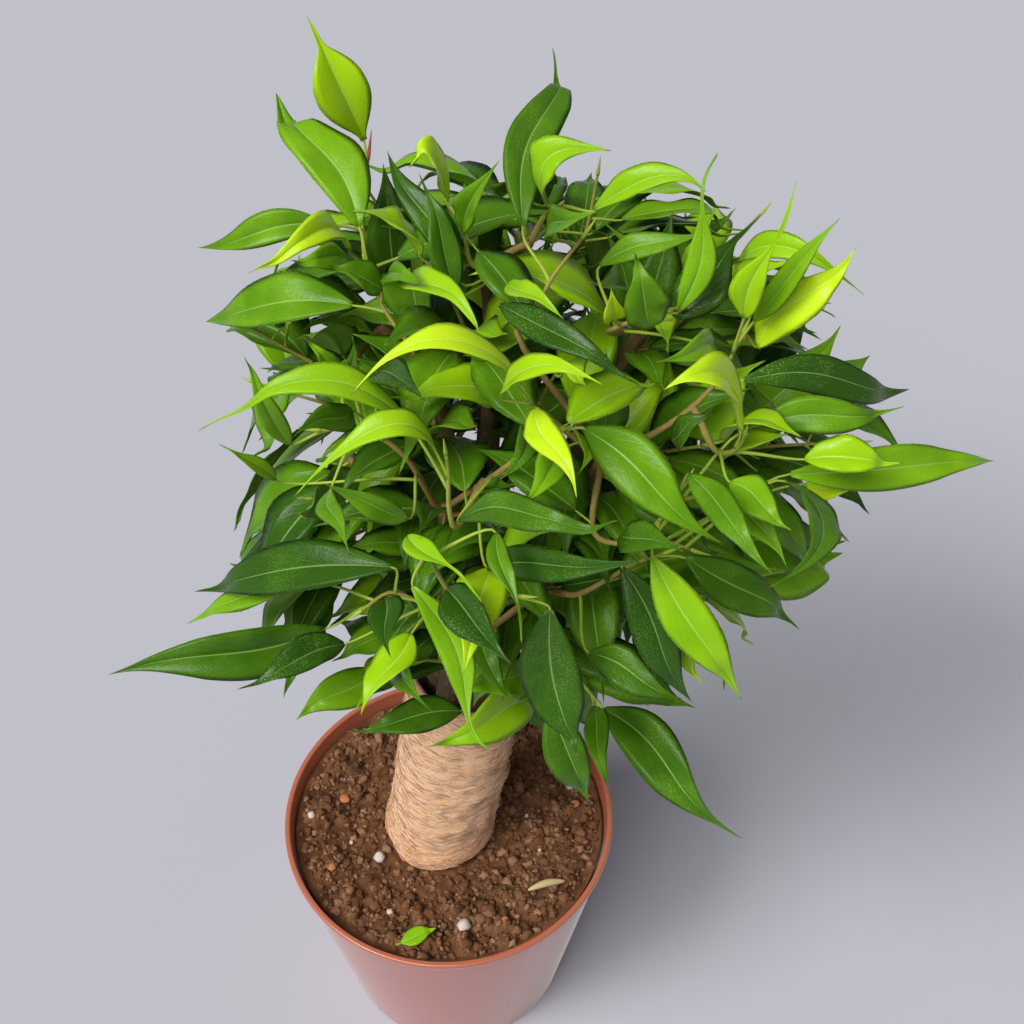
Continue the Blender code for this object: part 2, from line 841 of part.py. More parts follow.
def smooth_path(points, count):
    """Evenly shared points along a curve through the given ones."""
    if len(points) < 3:
        return [points[0].lerp(points[1], k / (count - 1)) for k in range(count)]
    path = []
    ends = [points[0] * 2 - points[1], *points, points[-1] * 2 - points[-2]]
    for k in range(count):
        place = (len(points) - 1) * k / (count - 1)
        i = min(int(place), len(points) - 2)
        t = place - i
        a, b, c, d = ends[i:i + 4]
        path.append(
            0.5 * (2 * b + (c - a) * t + (2 * a - 5 * b + 4 * c - d) * t ** 2
                   + (3 * b - a - 3 * c + d) * t ** 3)
        )
    return path


def grow_twig(name, way_points, carriers, draw):
    """Makes the spray's twig from its seat on a bough. It is turned aside if it meets anything."""
    for attempt in range(TWIG_TRIES):
        stray = Vector([draw.uniform(-1, 1) for _ in range(3)]) * TWIG_STRAY * attempt
        seat, way = seat_on(carriers, way_points[0] + stray)
        route = [seat + way * SEAT_RUN, *[point + stray for point in way_points]]
        points = [seat, *smooth_path(route, TWIG_KNOTS)]
        radii = [TWIG_RADIUS * (1.0 - TWIG_TAPER * k) for k in range(len(points))]
        stout = [radius + LEAF_SPARE for radius in radii]
        probe = tube("probe", [seat + way * 0.001, *points[1:]], stout)
        exact = tube("exact", points, radii)
        free = is_clear(name, probe.data) and is_clear(name, exact.data)
        bpy.data.objects.remove(probe)
        if free:
            exact.name = name
            keep_place(name, exact.data, "twig")
            return exact, points
        bpy.data.objects.remove(exact)
    return None, None


def root_on(twig, target, used):
    """The point of a twig nearest to the target that keeps apart from the other leaves' roots."""
    shares = [k / ROOT_STEPS for k in range(1, ROOT_STEPS)]
    points = [a.lerp(b, share) for a, b in zip(twig, twig[1:]) for share in shares]
    free = [point for point in points if all((point - one).length > ROOT_APART for one in used)]
    return min(free or points, key=lambda point: (point - target).length)


def set_seen_leaf(name, twig, leaf, used, reach, deeper, draw):
    """Puts back one leaf of the photograph, sliding it along the line of sight until it is free."""
    foot_pixel, tip_pixel, width_pixels = leaf[:3]
    arch_pixel = leaf[3] if len(leaf) > 3 else None
    tilt = leaf[4] if len(leaf) > 4 else ARCH_TILT
    roll = math.radians(draw.uniform(-LEAF_ROLL, LEAF_ROLL))
    for attempt in range(SLIDE_TRIES):
        nearer = SLIDE_STEP * ((attempt + 1) // 2) * (-1) ** attempt - deeper
        foot = seen_at(foot_pixel, reach, nearer)
        tip = seen_at(tip_pixel, reach + TIP_REACH + 0.006 * (attempt % 3 - 1), nearer)
        chord = tip - foot
        middle = (foot + tip) * 0.5
        to_eye = (EYE - middle).normalized()
        outward = (middle - CROWN_MIDDLE).normalized()
        if arch_pixel:
            crossing = intersect_line_line(EYE, EYE + sight_line(arch_pixel), middle, middle + UP)
            face = across(crossing[0] - middle + to_eye * tilt, chord.normalized())
            middle = crossing[0]
        else:
            mixed = to_eye * FACE_MIX[0] + UP * FACE_MIX[1] + outward * FACE_MIX[2]
            face = across(mixed, chord.normalized())
            side = chord.normalized().cross(face)
            face = face * math.cos(roll) + side * math.sin(roll)
            middle = middle + face * (LEAF_RISE * chord.length)
        shown = max(LEAST_SHOWN, abs(across(to_eye, chord.normalized()).dot(face)))
        wide = width_pixels * (EYE - middle).length / EYE_FOCUS / shown
        width = min(max(wide, chord.length * LEAST_WIDE), chord.length * MOST_WIDE, LEAF_WIDEST)
        leaving = (middle * 2.0 - (foot + tip) * 0.5 - foot).normalized()
        root = root_on(twig, foot - leaving * STALK_RUN, used)
        if try_leaf(name, root, foot, middle, tip, width, face):
            used.append(root)
            return True
    return False


def set_wild_leaf(name, twig, share, side, draw, scale):
    """Draws one leaf by the rule until it is free: it leaves the twig aslant and droops."""
    for attempt in range(LEAF_TRIES):
        place = share * (len(twig) - 1)
        i = min(int(place), len(twig) - 2)
        root = twig[i].lerp(twig[i + 1], min(place - i, 0.9))
        heading = (twig[i + 1] - twig[i]).normalized()
        outward = (root - CROWN_MIDDLE).normalized()
        across_twig = heading.cross(outward + UP * 0.4).normalized() * side
        slant = math.radians(draw.uniform(35, 75)) if side else math.radians(draw.uniform(0, 15))
        way = heading * math.cos(slant) + across_twig * math.sin(slant)
        way = (way + outward * draw.uniform(0.0, 0.5) + UP * draw.uniform(-0.5, 0.35)).normalized()
        size = draw.uniform(0.75, 1.15) * LEAF_LENGTH * scale * (1.0 - 0.018 * attempt)
        foot = root + way * draw.uniform(0.006, 0.010)
        tip = foot + way * size - UP * size * draw.uniform(0.05, 0.35)
        if not inside_crown(tip):
            continue
        chord = (tip - foot).normalized()
        face = across(outward * 0.6 + UP * 0.8 + across_twig * draw.uniform(-0.6, 0.6), chord)
        middle = (foot + tip) * 0.5 + face * size * draw.uniform(0.06, 0.16)
        width = size * LEAF_SHARE * draw.uniform(0.85, 1.1)
        if try_leaf(name, root, foot, middle, tip, width, face, PLAIN_OUTLINE):
            return


def inside_crown(point):
    part = point - CROWN_MIDDLE
    facing = part.normalized().dot((EYE - CROWN_MIDDLE).normalized())
    room = 1.0 if facing < FACING_EYE else FRONT_ROOM
    within = sum((part[i] / CROWN_RADII[i]) ** 2 for i in range(3)) < room * room
    return within and inside_outline(picture_of(point))


def finish_spray(spray, young):
    spray = join_repeats(spray)
    if young:
        spray.data.materials.append(finish_of("young_foliage", (0.34, 0.50, 0.08), 0.42))
    else:
        spray.data.materials.append(finish_of("foliage", (0.07, 0.16, 0.05), 0.38))


def make_seen_sprays():
    """The sprays of the photograph: all their twigs, then their leaves."""
    twigs = {}
    for number, (name, spray) in enumerate(SEEN_SPRAYS.items()):
        draw = random.Random(100 + number)
        last = len(spray["twig"]) - 1
        deeper = spray.get("deeper", 0.0)
        way_points = [
            seen_at(pixel, spray["reach"] - TWIG_DEPTH * (1 - k / last), -deeper)
            for k, pixel in enumerate(spray["twig"])
        ]
        carriers = ("wood", "twig") if spray["young"] else ("wood",)
        twigs[name] = (*grow_twig(name, way_points, carriers, draw), draw)
    for name, (twig, path, draw) in twigs.items():
        spray = SEEN_SPRAYS[name]
        deeper = spray.get("deeper", 0.0)
        used = []
        for leaf in spray["leaves"]:
            if not set_seen_leaf(name, path, leaf, used, spray["reach"], deeper, draw):
                raise RuntimeError(f"a leaf of {name} finds no room")
        finish_spray(twig, spray["young"])


def make_wild_sprays():
    """Sprays that the photograph doesn't show, spread evenly, with leaves at alternate sides."""
    for number in range(WILD_SPRAYS):
        draw = random.Random(500 + number)
        name = f"spray_{number + 1:02d}"
        way = crown_direction(number, WILD_SPRAYS, -0.85, 0.96)
        facing = way.dot((EYE - CROWN_MIDDLE).normalized())
        start, end, scale = FRONT_TWIG if facing > FACING_EYE else OTHER_TWIG
        while not inside_outline(picture_of(CROWN_MIDDLE + way * (end + 0.008))):
            end -= 0.004
        way_points = [CROWN_MIDDLE + way * start, CROWN_MIDDLE + way * end + UP * 0.006]
        twig, path = grow_twig(name, way_points, ("wood",), draw)
        if twig is None:
            continue
        leaves = FRONT_LEAVES if facing > FACING_EYE else WILD_LEAVES
        for leaf in reversed(range(leaves)):
            share = 0.30 + 0.68 * leaf / (leaves - 1)
            side = 0 if leaf == leaves - 1 else (-1) ** leaf
            set_wild_leaf(name, path, share, side, draw, scale)
        finish_spray(twig, False)


def laid_on_soil(pixels, thickness):
    """Both ends of a scrap that rests on the highest lump under it."""
    ends = [seen_on_level(pixel, SOIL_TOP) for pixel in pixels]
    soil = next(entry[-1] for entry in placed if entry[0] == "soil")
    along = [ends[0].lerp(ends[1], k / 10) + UP * 0.01 for k in range(11)]
    top = max(soil.ray_cast(point, -UP)[0].z for point in along)
    for point in ends:
        point.z = top + TOUCH_GAP + thickness * 0.5
    return ends


def make_fallen_bits():
    """A scrap of green leaf and a straw that lie on the soil."""
    start, end = laid_on_soil(FALLEN_LEAF, LEAF_THICK)
    foot = start.lerp(end, 0.12)
    mesh = blade_mesh("fallen_leaf", start, foot, (foot + end) * 0.5, end, FALLEN_WIDTH, UP)
    leaf = add_object("fallen_leaf", mesh)
    leaf.data.materials.append(finish_of("young_foliage", (0.34, 0.50, 0.08), 0.42))
    straw = tube("straw", laid_on_soil(STRAW, 2 * STRAW_RADII[0]), STRAW_RADII, 1)
    straw.data.materials.append(finish_of("dry_straw", (0.62, 0.47, 0.24), 0.8))


clear_scene()
make_pot()
make_soil()
make_wrap()
make_stems()
make_seen_sprays()
make_wild_sprays()
make_fallen_bits()
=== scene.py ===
"""Looks of the potted weeping fig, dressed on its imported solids.

Metres, +Z up, with the origin in the middle of the pot's underside. The sections follow the plant
as it is put together: pot, peat, stems, jute, sprays, inner leaves, scraps, and then the studio.
"""

import json
import math
import random

import bmesh
import bpy
from mathutils import Matrix, Vector, noise
from mathutils.bvhtree import BVHTree
from mathutils.geometry import interpolate_bezier, intersect_line_line
from mathutils.kdtree import KDTree

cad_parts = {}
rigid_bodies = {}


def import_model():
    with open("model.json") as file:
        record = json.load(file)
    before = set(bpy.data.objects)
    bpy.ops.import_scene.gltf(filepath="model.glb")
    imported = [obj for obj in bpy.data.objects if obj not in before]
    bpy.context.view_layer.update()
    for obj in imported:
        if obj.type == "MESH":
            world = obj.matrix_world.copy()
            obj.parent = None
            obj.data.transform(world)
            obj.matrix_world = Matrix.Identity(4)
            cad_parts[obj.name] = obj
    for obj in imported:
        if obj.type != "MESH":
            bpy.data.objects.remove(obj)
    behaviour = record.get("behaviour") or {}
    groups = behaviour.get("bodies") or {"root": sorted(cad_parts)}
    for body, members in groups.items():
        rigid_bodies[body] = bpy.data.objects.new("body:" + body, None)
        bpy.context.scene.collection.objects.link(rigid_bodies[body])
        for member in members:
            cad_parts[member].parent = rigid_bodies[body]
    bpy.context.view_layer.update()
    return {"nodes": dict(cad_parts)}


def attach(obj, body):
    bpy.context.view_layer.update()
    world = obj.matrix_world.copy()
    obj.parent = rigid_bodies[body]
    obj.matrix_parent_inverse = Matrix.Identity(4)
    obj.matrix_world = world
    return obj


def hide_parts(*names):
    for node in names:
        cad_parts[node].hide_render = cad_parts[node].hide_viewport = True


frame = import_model()

# Camera
# The eye stands in front of the plant and above it, and looks down on the crown. Its place and
# lens come from the rim's ellipse and the slant of the pot's sides in the photograph.
EYE = Vector((0.0231, -0.2739, 0.5464))
EYE_PITCH = math.radians(46.5)
EYE_FOCUS = 1400.0
PICTURE_SIDE = 1024.0
PICTURE_MIDDLE = PICTURE_SIDE / 2
FILM_WIDTH = 36.0
AHEAD = Vector((0.0, math.cos(EYE_PITCH), -math.sin(EYE_PITCH)))
ABOVE = Vector((0.0, math.sin(EYE_PITCH), math.cos(EYE_PITCH)))
UP = Vector((0.0, 0.0, 1.0))


def sight_line(pixel):
    """The direction in which the eye sees this pixel of the photograph."""
    aside = (pixel[0] - PICTURE_MIDDLE) / EYE_FOCUS
    rise = (PICTURE_MIDDLE - pixel[1]) / EYE_FOCUS
    return (AHEAD + Vector((aside, 0.0, 0.0)) + ABOVE * rise).normalized()


def seen_on_level(pixel, height):
    line = sight_line(pixel)
    return EYE + line * ((height - EYE.z) / line.z)


def picture_of(point):
    """The pixel at which the eye sees a point."""
    part = point - EYE
    depth = part.y * math.cos(EYE_PITCH) - part.z * math.sin(EYE_PITCH)
    rise = part.y * math.sin(EYE_PITCH) + part.z * math.cos(EYE_PITCH)
    scale = EYE_FOCUS / depth
    return PICTURE_MIDDLE + part.x * scale, PICTURE_MIDDLE - rise * scale


def add_object(name, data):
    obj = bpy.data.objects.new(name, data)
    bpy.context.scene.collection.objects.link(obj)
    return obj


camera = add_object("camera", bpy.data.cameras.new("camera"))
camera.location = EYE
camera.rotation_euler = (math.pi / 2 - EYE_PITCH, 0.0, 0.0)
camera.data.sensor_width = FILM_WIDTH
camera.data.lens = EYE_FOCUS / PICTURE_SIDE * FILM_WIDTH
bpy.context.scene.camera = camera

# Nursery pot
# A thin tapered pot, 12 cm across, formed from glossy brick-red plastic. Its rim is folded over to
# a narrow lip, and its floor has four drain holes.
POT_HEIGHT = 0.098
RIM_RADIUS = 0.060
RIM_DEPTH = 0.0026
RIM_STEP = 0.0010
LIP_ROUND = 0.0006
BASE_RADIUS = 0.0441
BASE_CHAMFER = (0.0010, 0.0026)
POT_WALL = 0.0010
POT_FLOOR = 0.0016
POT_STEPS = 144
WALL_STEPS = 12
DRAIN_RADIUS = 0.004
DRAIN_CIRCLE = 0.030
DRAIN_COUNT = 4


def baked(obj):
    """Swaps the object for one with its evaluated mesh and no modifiers."""
    name = obj.name
    bpy.context.view_layer.update()
    graph = bpy.context.evaluated_depsgraph_get()
    mesh = bpy.data.meshes.new_from_object(obj.evaluated_get(graph))
    bpy.data.objects.remove(obj)
    mesh.name = name
    return add_object(name, mesh)


def turned(name, profile, steps):
    """A profile of (radius, height) points turned about the Z axis."""
    mesh = bpy.data.meshes.new(name)
    points = [(radius, 0.0, height) for radius, height in profile]
    mesh.from_pydata(points, [(i, i + 1) for i in range(len(points) - 1)], [])
    obj = add_object(name, mesh)
    screw = obj.modifiers.new("turn", "SCREW")
    screw.steps = steps
    screw.render_steps = steps
    screw.use_merge_vertices = True
    screw.merge_threshold = 1e-5
    return baked(obj)


def feed(tree, made, inputs):
    """Sets a node's inputs. Each is a value, or the output socket that feeds it."""
    for name, value in inputs.items():
        if isinstance(value, bpy.types.NodeSocket):
            tree.links.new(value, made.inputs[name])
        else:
            made.inputs[name].default_value = value


def node(tree, kind, inputs=None, **settings):
    made = tree.nodes.new(kind)
    for name, value in settings.items():
        setattr(made, name, value)
    feed(tree, made, inputs or {})
    return made


def math_of(tree, operation, first, second=0.0, third=0.0):
    return node(tree, "ShaderNodeMath", {0: first, 1: second, 2: third}, operation=operation).outputs[0]


def mixed(tree, amount, first, second, blend="MIX"):
    """A mix of two colours, each a socket or (red, green, blue)."""
    first, second = [(*one, 1.0) if isinstance(one, tuple) else one for one in (first, second)]
    inputs = {0: amount, 6: first, 7: second}
    return node(tree, "ShaderNodeMix", inputs, data_type="RGBA", blend_type=blend).outputs[2]


def ramp_of(tree, amount, stops):
    """A colour ramp through {place: colour}."""
    made = node(tree, "ShaderNodeValToRGB", {0: amount})
    band = made.color_ramp.elements
    while len(band) < len(stops):
        band.new(1.0)
    for element, (place, colour) in zip(band, stops.items()):
        element.position = place
        element.color = (*colour, 1.0)
    return made.outputs[0]


def ranged(tree, value, low, high, least=0.0, most=1.0):
    """A value's place between low and high, drawn out to run from least to most."""
    return node(tree, "ShaderNodeMapRange", {0: value, 1: low, 2: high, 3: least, 4: most}).outputs[0]


def stored(tree, name):
    """A number that the mesh carries."""
    return node(tree, "ShaderNodeAttribute", attribute_name=name).outputs["Fac"]


def own_place(tree):
    """The place on the object, whose Z is the height above the table."""
    return node(tree, "ShaderNodeTexCoord").outputs["Object"]


def parts_of(tree, vector):
    return node(tree, "ShaderNodeSeparateXYZ", {0: vector}).outputs


def new_group(name, kind, inputs, outputs):
    """An empty node group with its sockets, given as {name: type}."""
    group = bpy.data.node_groups.new(name, kind)
    for side, sockets in (("INPUT", inputs), ("OUTPUT", outputs)):
        for label, socket_type in sockets.items():
            group.interface.new_socket(label, in_out=side, socket_type=f"NodeSocket{socket_type}")
    return group, node(group, "NodeGroupInput").outputs, node(group, "NodeGroupOutput").inputs


def make_mottle():
    """Soft blotches and a fine grain on object coordinates, as masks and as a height."""
    given_sockets = {"Blotch Scale": "Float", "Grain Scale": "Float", "Stretch": "Vector"}
    result_sockets = {"Blotch": "Float", "Grain": "Float", "Height": "Float"}
    group, given, result = new_group("mottle", "ShaderNodeTree", given_sockets, result_sockets)
    inputs = {0: own_place(group), 1: given["Stretch"]}
    place = node(group, "ShaderNodeVectorMath", inputs, operation="MULTIPLY").outputs[0]
    masks = {}
    for label, detail in (("Blotch", 3.0), ("Grain", 4.0)):
        inputs = {"Vector": place, "Scale": given[f"{label} Scale"], "Detail": detail}
        masks[label] = node(group, "ShaderNodeTexNoise", inputs).outputs[0]
    grain = math_of(group, "MULTIPLY", masks["Grain"], 0.5)
    masks["Height"] = math_of(group, "MULTIPLY_ADD", masks["Blotch"], 0.5, grain)
    for label, value in masks.items():
        group.links.new(value, result[label])
    return group


mottle = make_mottle()


def mottled(tree, blotch_scale, grain_scale, stretch=(1.0, 1.0, 1.0)):
    inputs = {"Blotch Scale": blotch_scale, "Grain Scale": grain_scale, "Stretch": stretch}
    return node(tree, "ShaderNodeGroup", inputs, node_tree=mottle).outputs


def bump_of(tree, height, distance, strength):
    inputs = {"Height": height, "Distance": distance, "Strength": strength}
    return node(tree, "ShaderNodeBump", inputs).outputs[0]


def new_finish(name):
    material = bpy.data.materials.new(name)
    material.use_nodes = True
    return material, material.node_tree


def shaded(tree, **sockets):
    """Sets the shader's sockets, with _ for each blank in a name."""
    inputs = {name.replace("_", " "): value for name, value in sockets.items()}
    feed(tree, tree.nodes["Principled BSDF"], inputs)


def pot_finish():
    """Glossy plastic: brick red at the lip and inside, and pinker down the thin outer wall."""
    material, tree = new_finish("terracotta_plastic")
    masks = mottled(tree, 38.0, 700.0, (1.0, 1.0, 0.25))
    lip_foot = POT_HEIGHT - RIM_DEPTH
    lip = ranged(tree, parts_of(tree, own_place(tree))[2], lip_foot - 0.0022, lip_foot + 0.0004)
    red = math_of(tree, "MAXIMUM", lip, stored(tree, "inside"))
    wall = mixed(tree, masks["Blotch"], (0.40, 0.088, 0.048), (0.46, 0.112, 0.066))
    shaded(
        tree,
        Base_Color=mixed(tree, red, wall, (0.43, 0.125, 0.065)),
        Roughness=math_of(tree, "MULTIPLY_ADD", masks["Blotch"], 0.12, 0.22),
        Normal=bump_of(tree, masks["Blotch"], 0.0003, 0.06),
        Coat_Weight=0.5,
        Coat_Roughness=0.09,
        Sheen_Weight=0.7,
        Sheen_Roughness=0.18,
    )
    return material


def set_attribute(mesh, name, values, domain="POINT"):
    mesh.attributes.new(name, "FLOAT", domain).data.foreach_set("value", values)


def lip_corner(x, z, start, end, count):
    """Points round a corner of the lip, between two angles in degrees."""
    angles = [math.radians(start + (end - start) * k / (count - 1)) for k in range(count)]
    return [(x + LIP_ROUND * math.cos(a), z + LIP_ROUND * math.sin(a)) for a in angles]


def mesh_from(shape, name):
    """A plain mesh of a shape that is being edited, which ends with this."""
    mesh = bpy.data.meshes.new(name)
    shape.to_mesh(mesh)
    shape.free()
    return mesh


def drain_cutter(number):
    angle = number * math.tau / DRAIN_COUNT
    size = dict(radius1=DRAIN_RADIUS, radius2=DRAIN_RADIUS, depth=6 * POT_FLOOR)
    shape = bmesh.new()
    bmesh.ops.create_cone(shape, cap_ends=True, segments=32, **size)
    place = (DRAIN_CIRCLE * math.cos(angle), DRAIN_CIRCLE * math.sin(angle), 0.0)
    bmesh.ops.translate(shape, verts=shape.verts, vec=place)
    return add_object("drain", mesh_from(shape, "drain"))


def make_pot():
    inner_rim = RIM_RADIUS - RIM_STEP - POT_WALL
    outer_round = RIM_RADIUS - LIP_ROUND
    top_round = POT_HEIGHT - LIP_ROUND
    profile = lip_corner(inner_rim + LIP_ROUND, top_round, 180, 90, 4)
    profile += lip_corner(outer_round, top_round, 90, 0, 5)
    profile += lip_corner(outer_round, POT_HEIGHT - RIM_DEPTH + LIP_ROUND, 0, -80, 4)
    profile += [(RIM_RADIUS - RIM_STEP, POT_HEIGHT - RIM_DEPTH - 0.0004)]
    wall_top = Vector(profile[-1])
    wall_foot = Vector((BASE_RADIUS, BASE_CHAMFER[1]))
    profile += [tuple(wall_top.lerp(wall_foot, (k + 1) / WALL_STEPS)) for k in range(WALL_STEPS)]
    for inward, up in ((0.2, 0.45), (0.55, 0.12), (1.0, 0.0)):
        profile.append((BASE_RADIUS - BASE_CHAMFER[0] * inward, BASE_CHAMFER[1] * up))
    profile += [(BASE_RADIUS * 0.5, 0.0), (0.0, 0.0), (0.0, POT_FLOOR)]
    profile += [(BASE_RADIUS - POT_WALL, POT_FLOOR), (inner_rim, top_round)]
    pot = turned("nursery_pot", profile, POT_STEPS)
    cutters = [drain_cutter(number) for number in range(DRAIN_COUNT)]
    for cutter in cutters:
        hole = pot.modifiers.new("drain", "BOOLEAN")
        hole.operation = "DIFFERENCE"
        hole.object = cutter
    pot = baked(pot)
    for cutter in cutters:
        bpy.data.objects.remove(cutter)
    pot.data.materials.clear()
    pot.data.materials.append(pot_finish())
    inside = [f.normal.dot(f.center) < 0.0 and f.center.z > POT_FLOOR / 2 for f in pot.data.polygons]
    set_attribute(pot.data, "inside", [float(value) for value in inside], "FACE")
    pot.data.shade_smooth()
    pot.data.set_sharp_from_angle(angle=math.radians(40))
    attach(pot, "root")
    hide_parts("pot")


make_pot()

# Peat
# Moist reddish-brown potting peat fills the pot to just under its rim. Crumbs, rootlets, bark
# chips and pale grains of perlite lie loose on it.
SOIL_TOP = 0.0900
SOIL_LUMP = 0.0022
LUMP_SCALE = 130
DRIFT = 0.0022
DRIFT_SCALE = 160
CLOD_DEPTH = 0.0040
CLOD_LEVEL = 0.45
CLOD_SCALE = 170
CRUMB_DEPTH = 0.0014
CRUMB_LEVEL = 0.42
CRUMB_SCALE = 420
GRIT_DEPTH = 0.0005
GRIT_SCALE = 900
LEAST_ROUGH = 0.3
FOOT_FLAT = 0.024
FOOT_SLOPE = 0.006
WALL_SLOPE = 0.004
WALL_RISE = 0.0027
WALL_RISE_RUN = 0.020
TOUCH_GAP = 0.0003
SOIL_STEPS = 240
SOIL_FINE_RINGS = 62
AXIS_FOOT = Vector((-0.0046, -0.0010, SOIL_TOP))
AXIS_LEAN = Vector((0.140, 0.0, 1.0))
WRAP_RADIUS = 0.0176
PERLITE = {(380, 859): 1.0, (464, 928): 1.1, (571, 787): 0.95, (312, 817): 0.7, (390, 913): 0.65}
PERLITE_RADIUS = 0.0021
PERLITE_RISE = 0.4
STREWN_COUNT = 7
STREWN_OUT = (0.026, 0.050)
STREWN_WIDTH = (0.0009, 0.0024)
CHIPS = {(345, 799): 0.0042, (575, 805): 0.0037, (332, 868): 0.0032, (505, 921): 0.0027}
CHIP_LIFT = 0.0004
CHIP_FLAT = 0.45
SMALL_CRUMBS = dict(Density=260000.0, Smallest=0.0008, Largest=0.0028, Seed=5)
LARGE_CRUMBS = dict(Density=95000.0, Smallest=0.0017, Largest=0.0048, Seed=6)
ROOTLET = dict(thickness=0.00013, wander=0.0012, stand=0.004, bend=0.0)
ROOTLET_KINDS = 6
ROOTLETS = dict(Density=42000.0, Askew=math.pi, Shortest=0.35, Longest=1.20, Seed=4)
CRUMB_KINDS = 7
CRUMB_UNEVEN = 0.9
CRUMB_FLAT = 0.8
GRAIN_UNEVEN = 0.45
CRUMB_MARGIN = 0.0019
ROOTLET_MARGIN = 0.0078
WRAP_MARGIN = 0.0022
FIBRE_LENGTH = 0.0105
FIBRE_KNOTS = 6
# The peat's shade at its plain level, and how much it rises for each metre the peat stands above it: painted
# shade, lighter on lumps and darker in hollows
PEAT_SHADE = 0.28
PAINTED_SHADE_A_METRE = 190.0
NOISE_SEED = 7

# The drift in the peat's noise is seeded by the clock unless it is seeded here
noise.seed_set(NOISE_SEED)


def inner_wall(height):
    """Radius of the pot's inside at a height."""
    share = (height - POT_FLOOR) / (POT_HEIGHT - POT_FLOOR)
    low = BASE_RADIUS - POT_WALL
    high = RIM_RADIUS - RIM_STEP - POT_WALL
    return low + (high - low) * share


def off_axis(x, y):
    return math.hypot(x - AXIS_FOOT.x, y - AXIS_FOOT.y)


def soil_level(x, y):
    """The peat's height without its lumps: flat where the wrap stands, and higher at the wall."""
    share = min(1.0, max(0.0, (off_axis(x, y) - FOOT_FLAT) / WALL_RISE_RUN))
    return SOIL_TOP + WALL_RISE * share * share * (3.0 - 2.0 * share)


def seen_on_peat(pixel):
    """The place on the peat that the eye sees at a pixel."""
    spot = seen_on_level(pixel, SOIL_TOP)
    for _ in range(3):
        spot = seen_on_level(pixel, soil_level(spot.x, spot.y))
    return spot


perlite_spots = [seen_on_peat(pixel) for pixel in PERLITE]


def soil_height(x, y):
    """Lumps of peat and raised perlite grains, flat where the wrap stands."""
    near_wall = inner_wall(SOIL_TOP) - math.hypot(x, y)
    off_foot = max(0.0, (off_axis(x, y) - FOOT_FLAT) / FOOT_SLOPE)
    rough = min(1.0, off_foot, max(0.0, near_wall / WALL_SLOPE))
    height = noise.noise(Vector((x, y, 0.0)) * LUMP_SCALE) * SOIL_LUMP
    for grain in perlite_spots:
        apart = math.hypot(x - grain.x, y - grain.y) / PERLITE_RADIUS
        height += PERLITE_RISE * PERLITE_RADIUS * max(0.0, 1.0 - apart * 0.5)
    drift = noise.noise_vector(Vector((x, y, 0.5)) * DRIFT_SCALE) * DRIFT
    clods = CLOD_LEVEL - noise.voronoi((Vector((x, y, 0.1)) + drift) * CLOD_SCALE)[0][0]
    lumps = CRUMB_LEVEL - noise.voronoi((Vector((x, y, 0.7)) + drift) * CRUMB_SCALE)[0][0]
    grit = noise.fractal(Vector((x, y, 0.3)) * GRIT_SCALE, 0.8, 2.0, 2)
    fine = clods * CLOD_DEPTH + lumps * CRUMB_DEPTH + grit * GRIT_DEPTH
    return soil_level(x, y) + height * rough + fine * max(rough, LEAST_ROUGH)


def blotchy_finish(name, scales, colour_rule, bump=None, **sockets):
    """A material whose colour comes from a rule, which is given its tree and its masks."""
    material, tree = new_finish(name)
    masks = mottled(tree, *scales)
    if bump:
        sockets["Normal"] = bump_of(tree, masks["Height"], *bump)
    shaded(tree, Base_Color=colour_rule(tree, masks), **sockets)
    return material


def two_colours(first, second):
    """A colour rule: one colour, and blotches of another."""
    return lambda tree, masks: mixed(tree, masks["Blotch"], first, second)


def shade_ramp(shade_part, blotch_part, stops):
    """A colour rule: a ramp by the shade that the mesh carries and by the blotches."""
    def rule(tree, masks):
        blotch = math_of(tree, "MULTIPLY", masks["Blotch"], blotch_part)
        return ramp_of(tree, math_of(tree, "MULTIPLY_ADD", stored(tree, "shade"), shade_part, blotch), stops)
    return rule


PEAT_COLOURS = {
    0.06: (0.026, 0.010, 0.004),
    0.36: (0.126, 0.051, 0.021),
    0.64: (0.195, 0.089, 0.040),
    0.96: (0.340, 0.192, 0.105),
}


def lump_mesh(name, seed, detail, roughness, flat):
    """An uneven crumb about one unit across."""
    shape = bmesh.new()
    bmesh.ops.create_icosphere(shape, subdivisions=detail, radius=0.5)
    shift = Vector((seed * 3.7, seed * 1.3, seed * 2.1))
    for vertex in shape.verts:
        vertex.co *= 1.0 + roughness * noise.noise(vertex.co * 3.6 + shift)
        vertex.co.z *= flat
    mesh = mesh_from(shape, name)
    mesh.shade_smooth()
    return mesh


def grown(name, mesh, tree, shapes, finish, **values):
    """Runs a geometry tree that sets shapes on a mesh, and keeps the result as a plain object."""
    shelf = bpy.data.collections.new(name)
    bpy.context.scene.collection.children.link(shelf)
    for number, shape in enumerate(shapes):
        shelf.objects.link(bpy.data.objects.new(f"{name}_shape_{number}", shape))
    obj = add_object(name, mesh)
    modifier = obj.modifiers.new("tree", "NODES")
    modifier.node_group = tree
    values.update(Shapes=shelf, Material=finish)
    for item in tree.interface.items_tree:
        if item.name in values:
            modifier[item.identifier] = values[item.name]
    obj = baked(obj)
    for copied in list(shelf.objects):
        bpy.data.objects.remove(copied)
    bpy.data.collections.remove(shelf)
    return obj


def new_spread(name, **inputs):
    """A geometry tree that sets shapes on a mesh, with its own inputs given as name=type."""
    given = dict(Geometry="Geometry", Shapes="Collection", Material="Material", **inputs)
    return new_group(name, "GeometryNodeTree", given, {"Geometry": "Geometry"})


def random_of(tree, low, high, seed, data_type="FLOAT"):
    """A random value for each point."""
    first, out = {"FLOAT_VECTOR": (0, 0), "FLOAT": (2, 1)}[data_type]
    inputs = {first: low, first + 1: high, 8: seed}
    return node(tree, "FunctionNodeRandomValue", inputs, data_type=data_type).outputs[out]


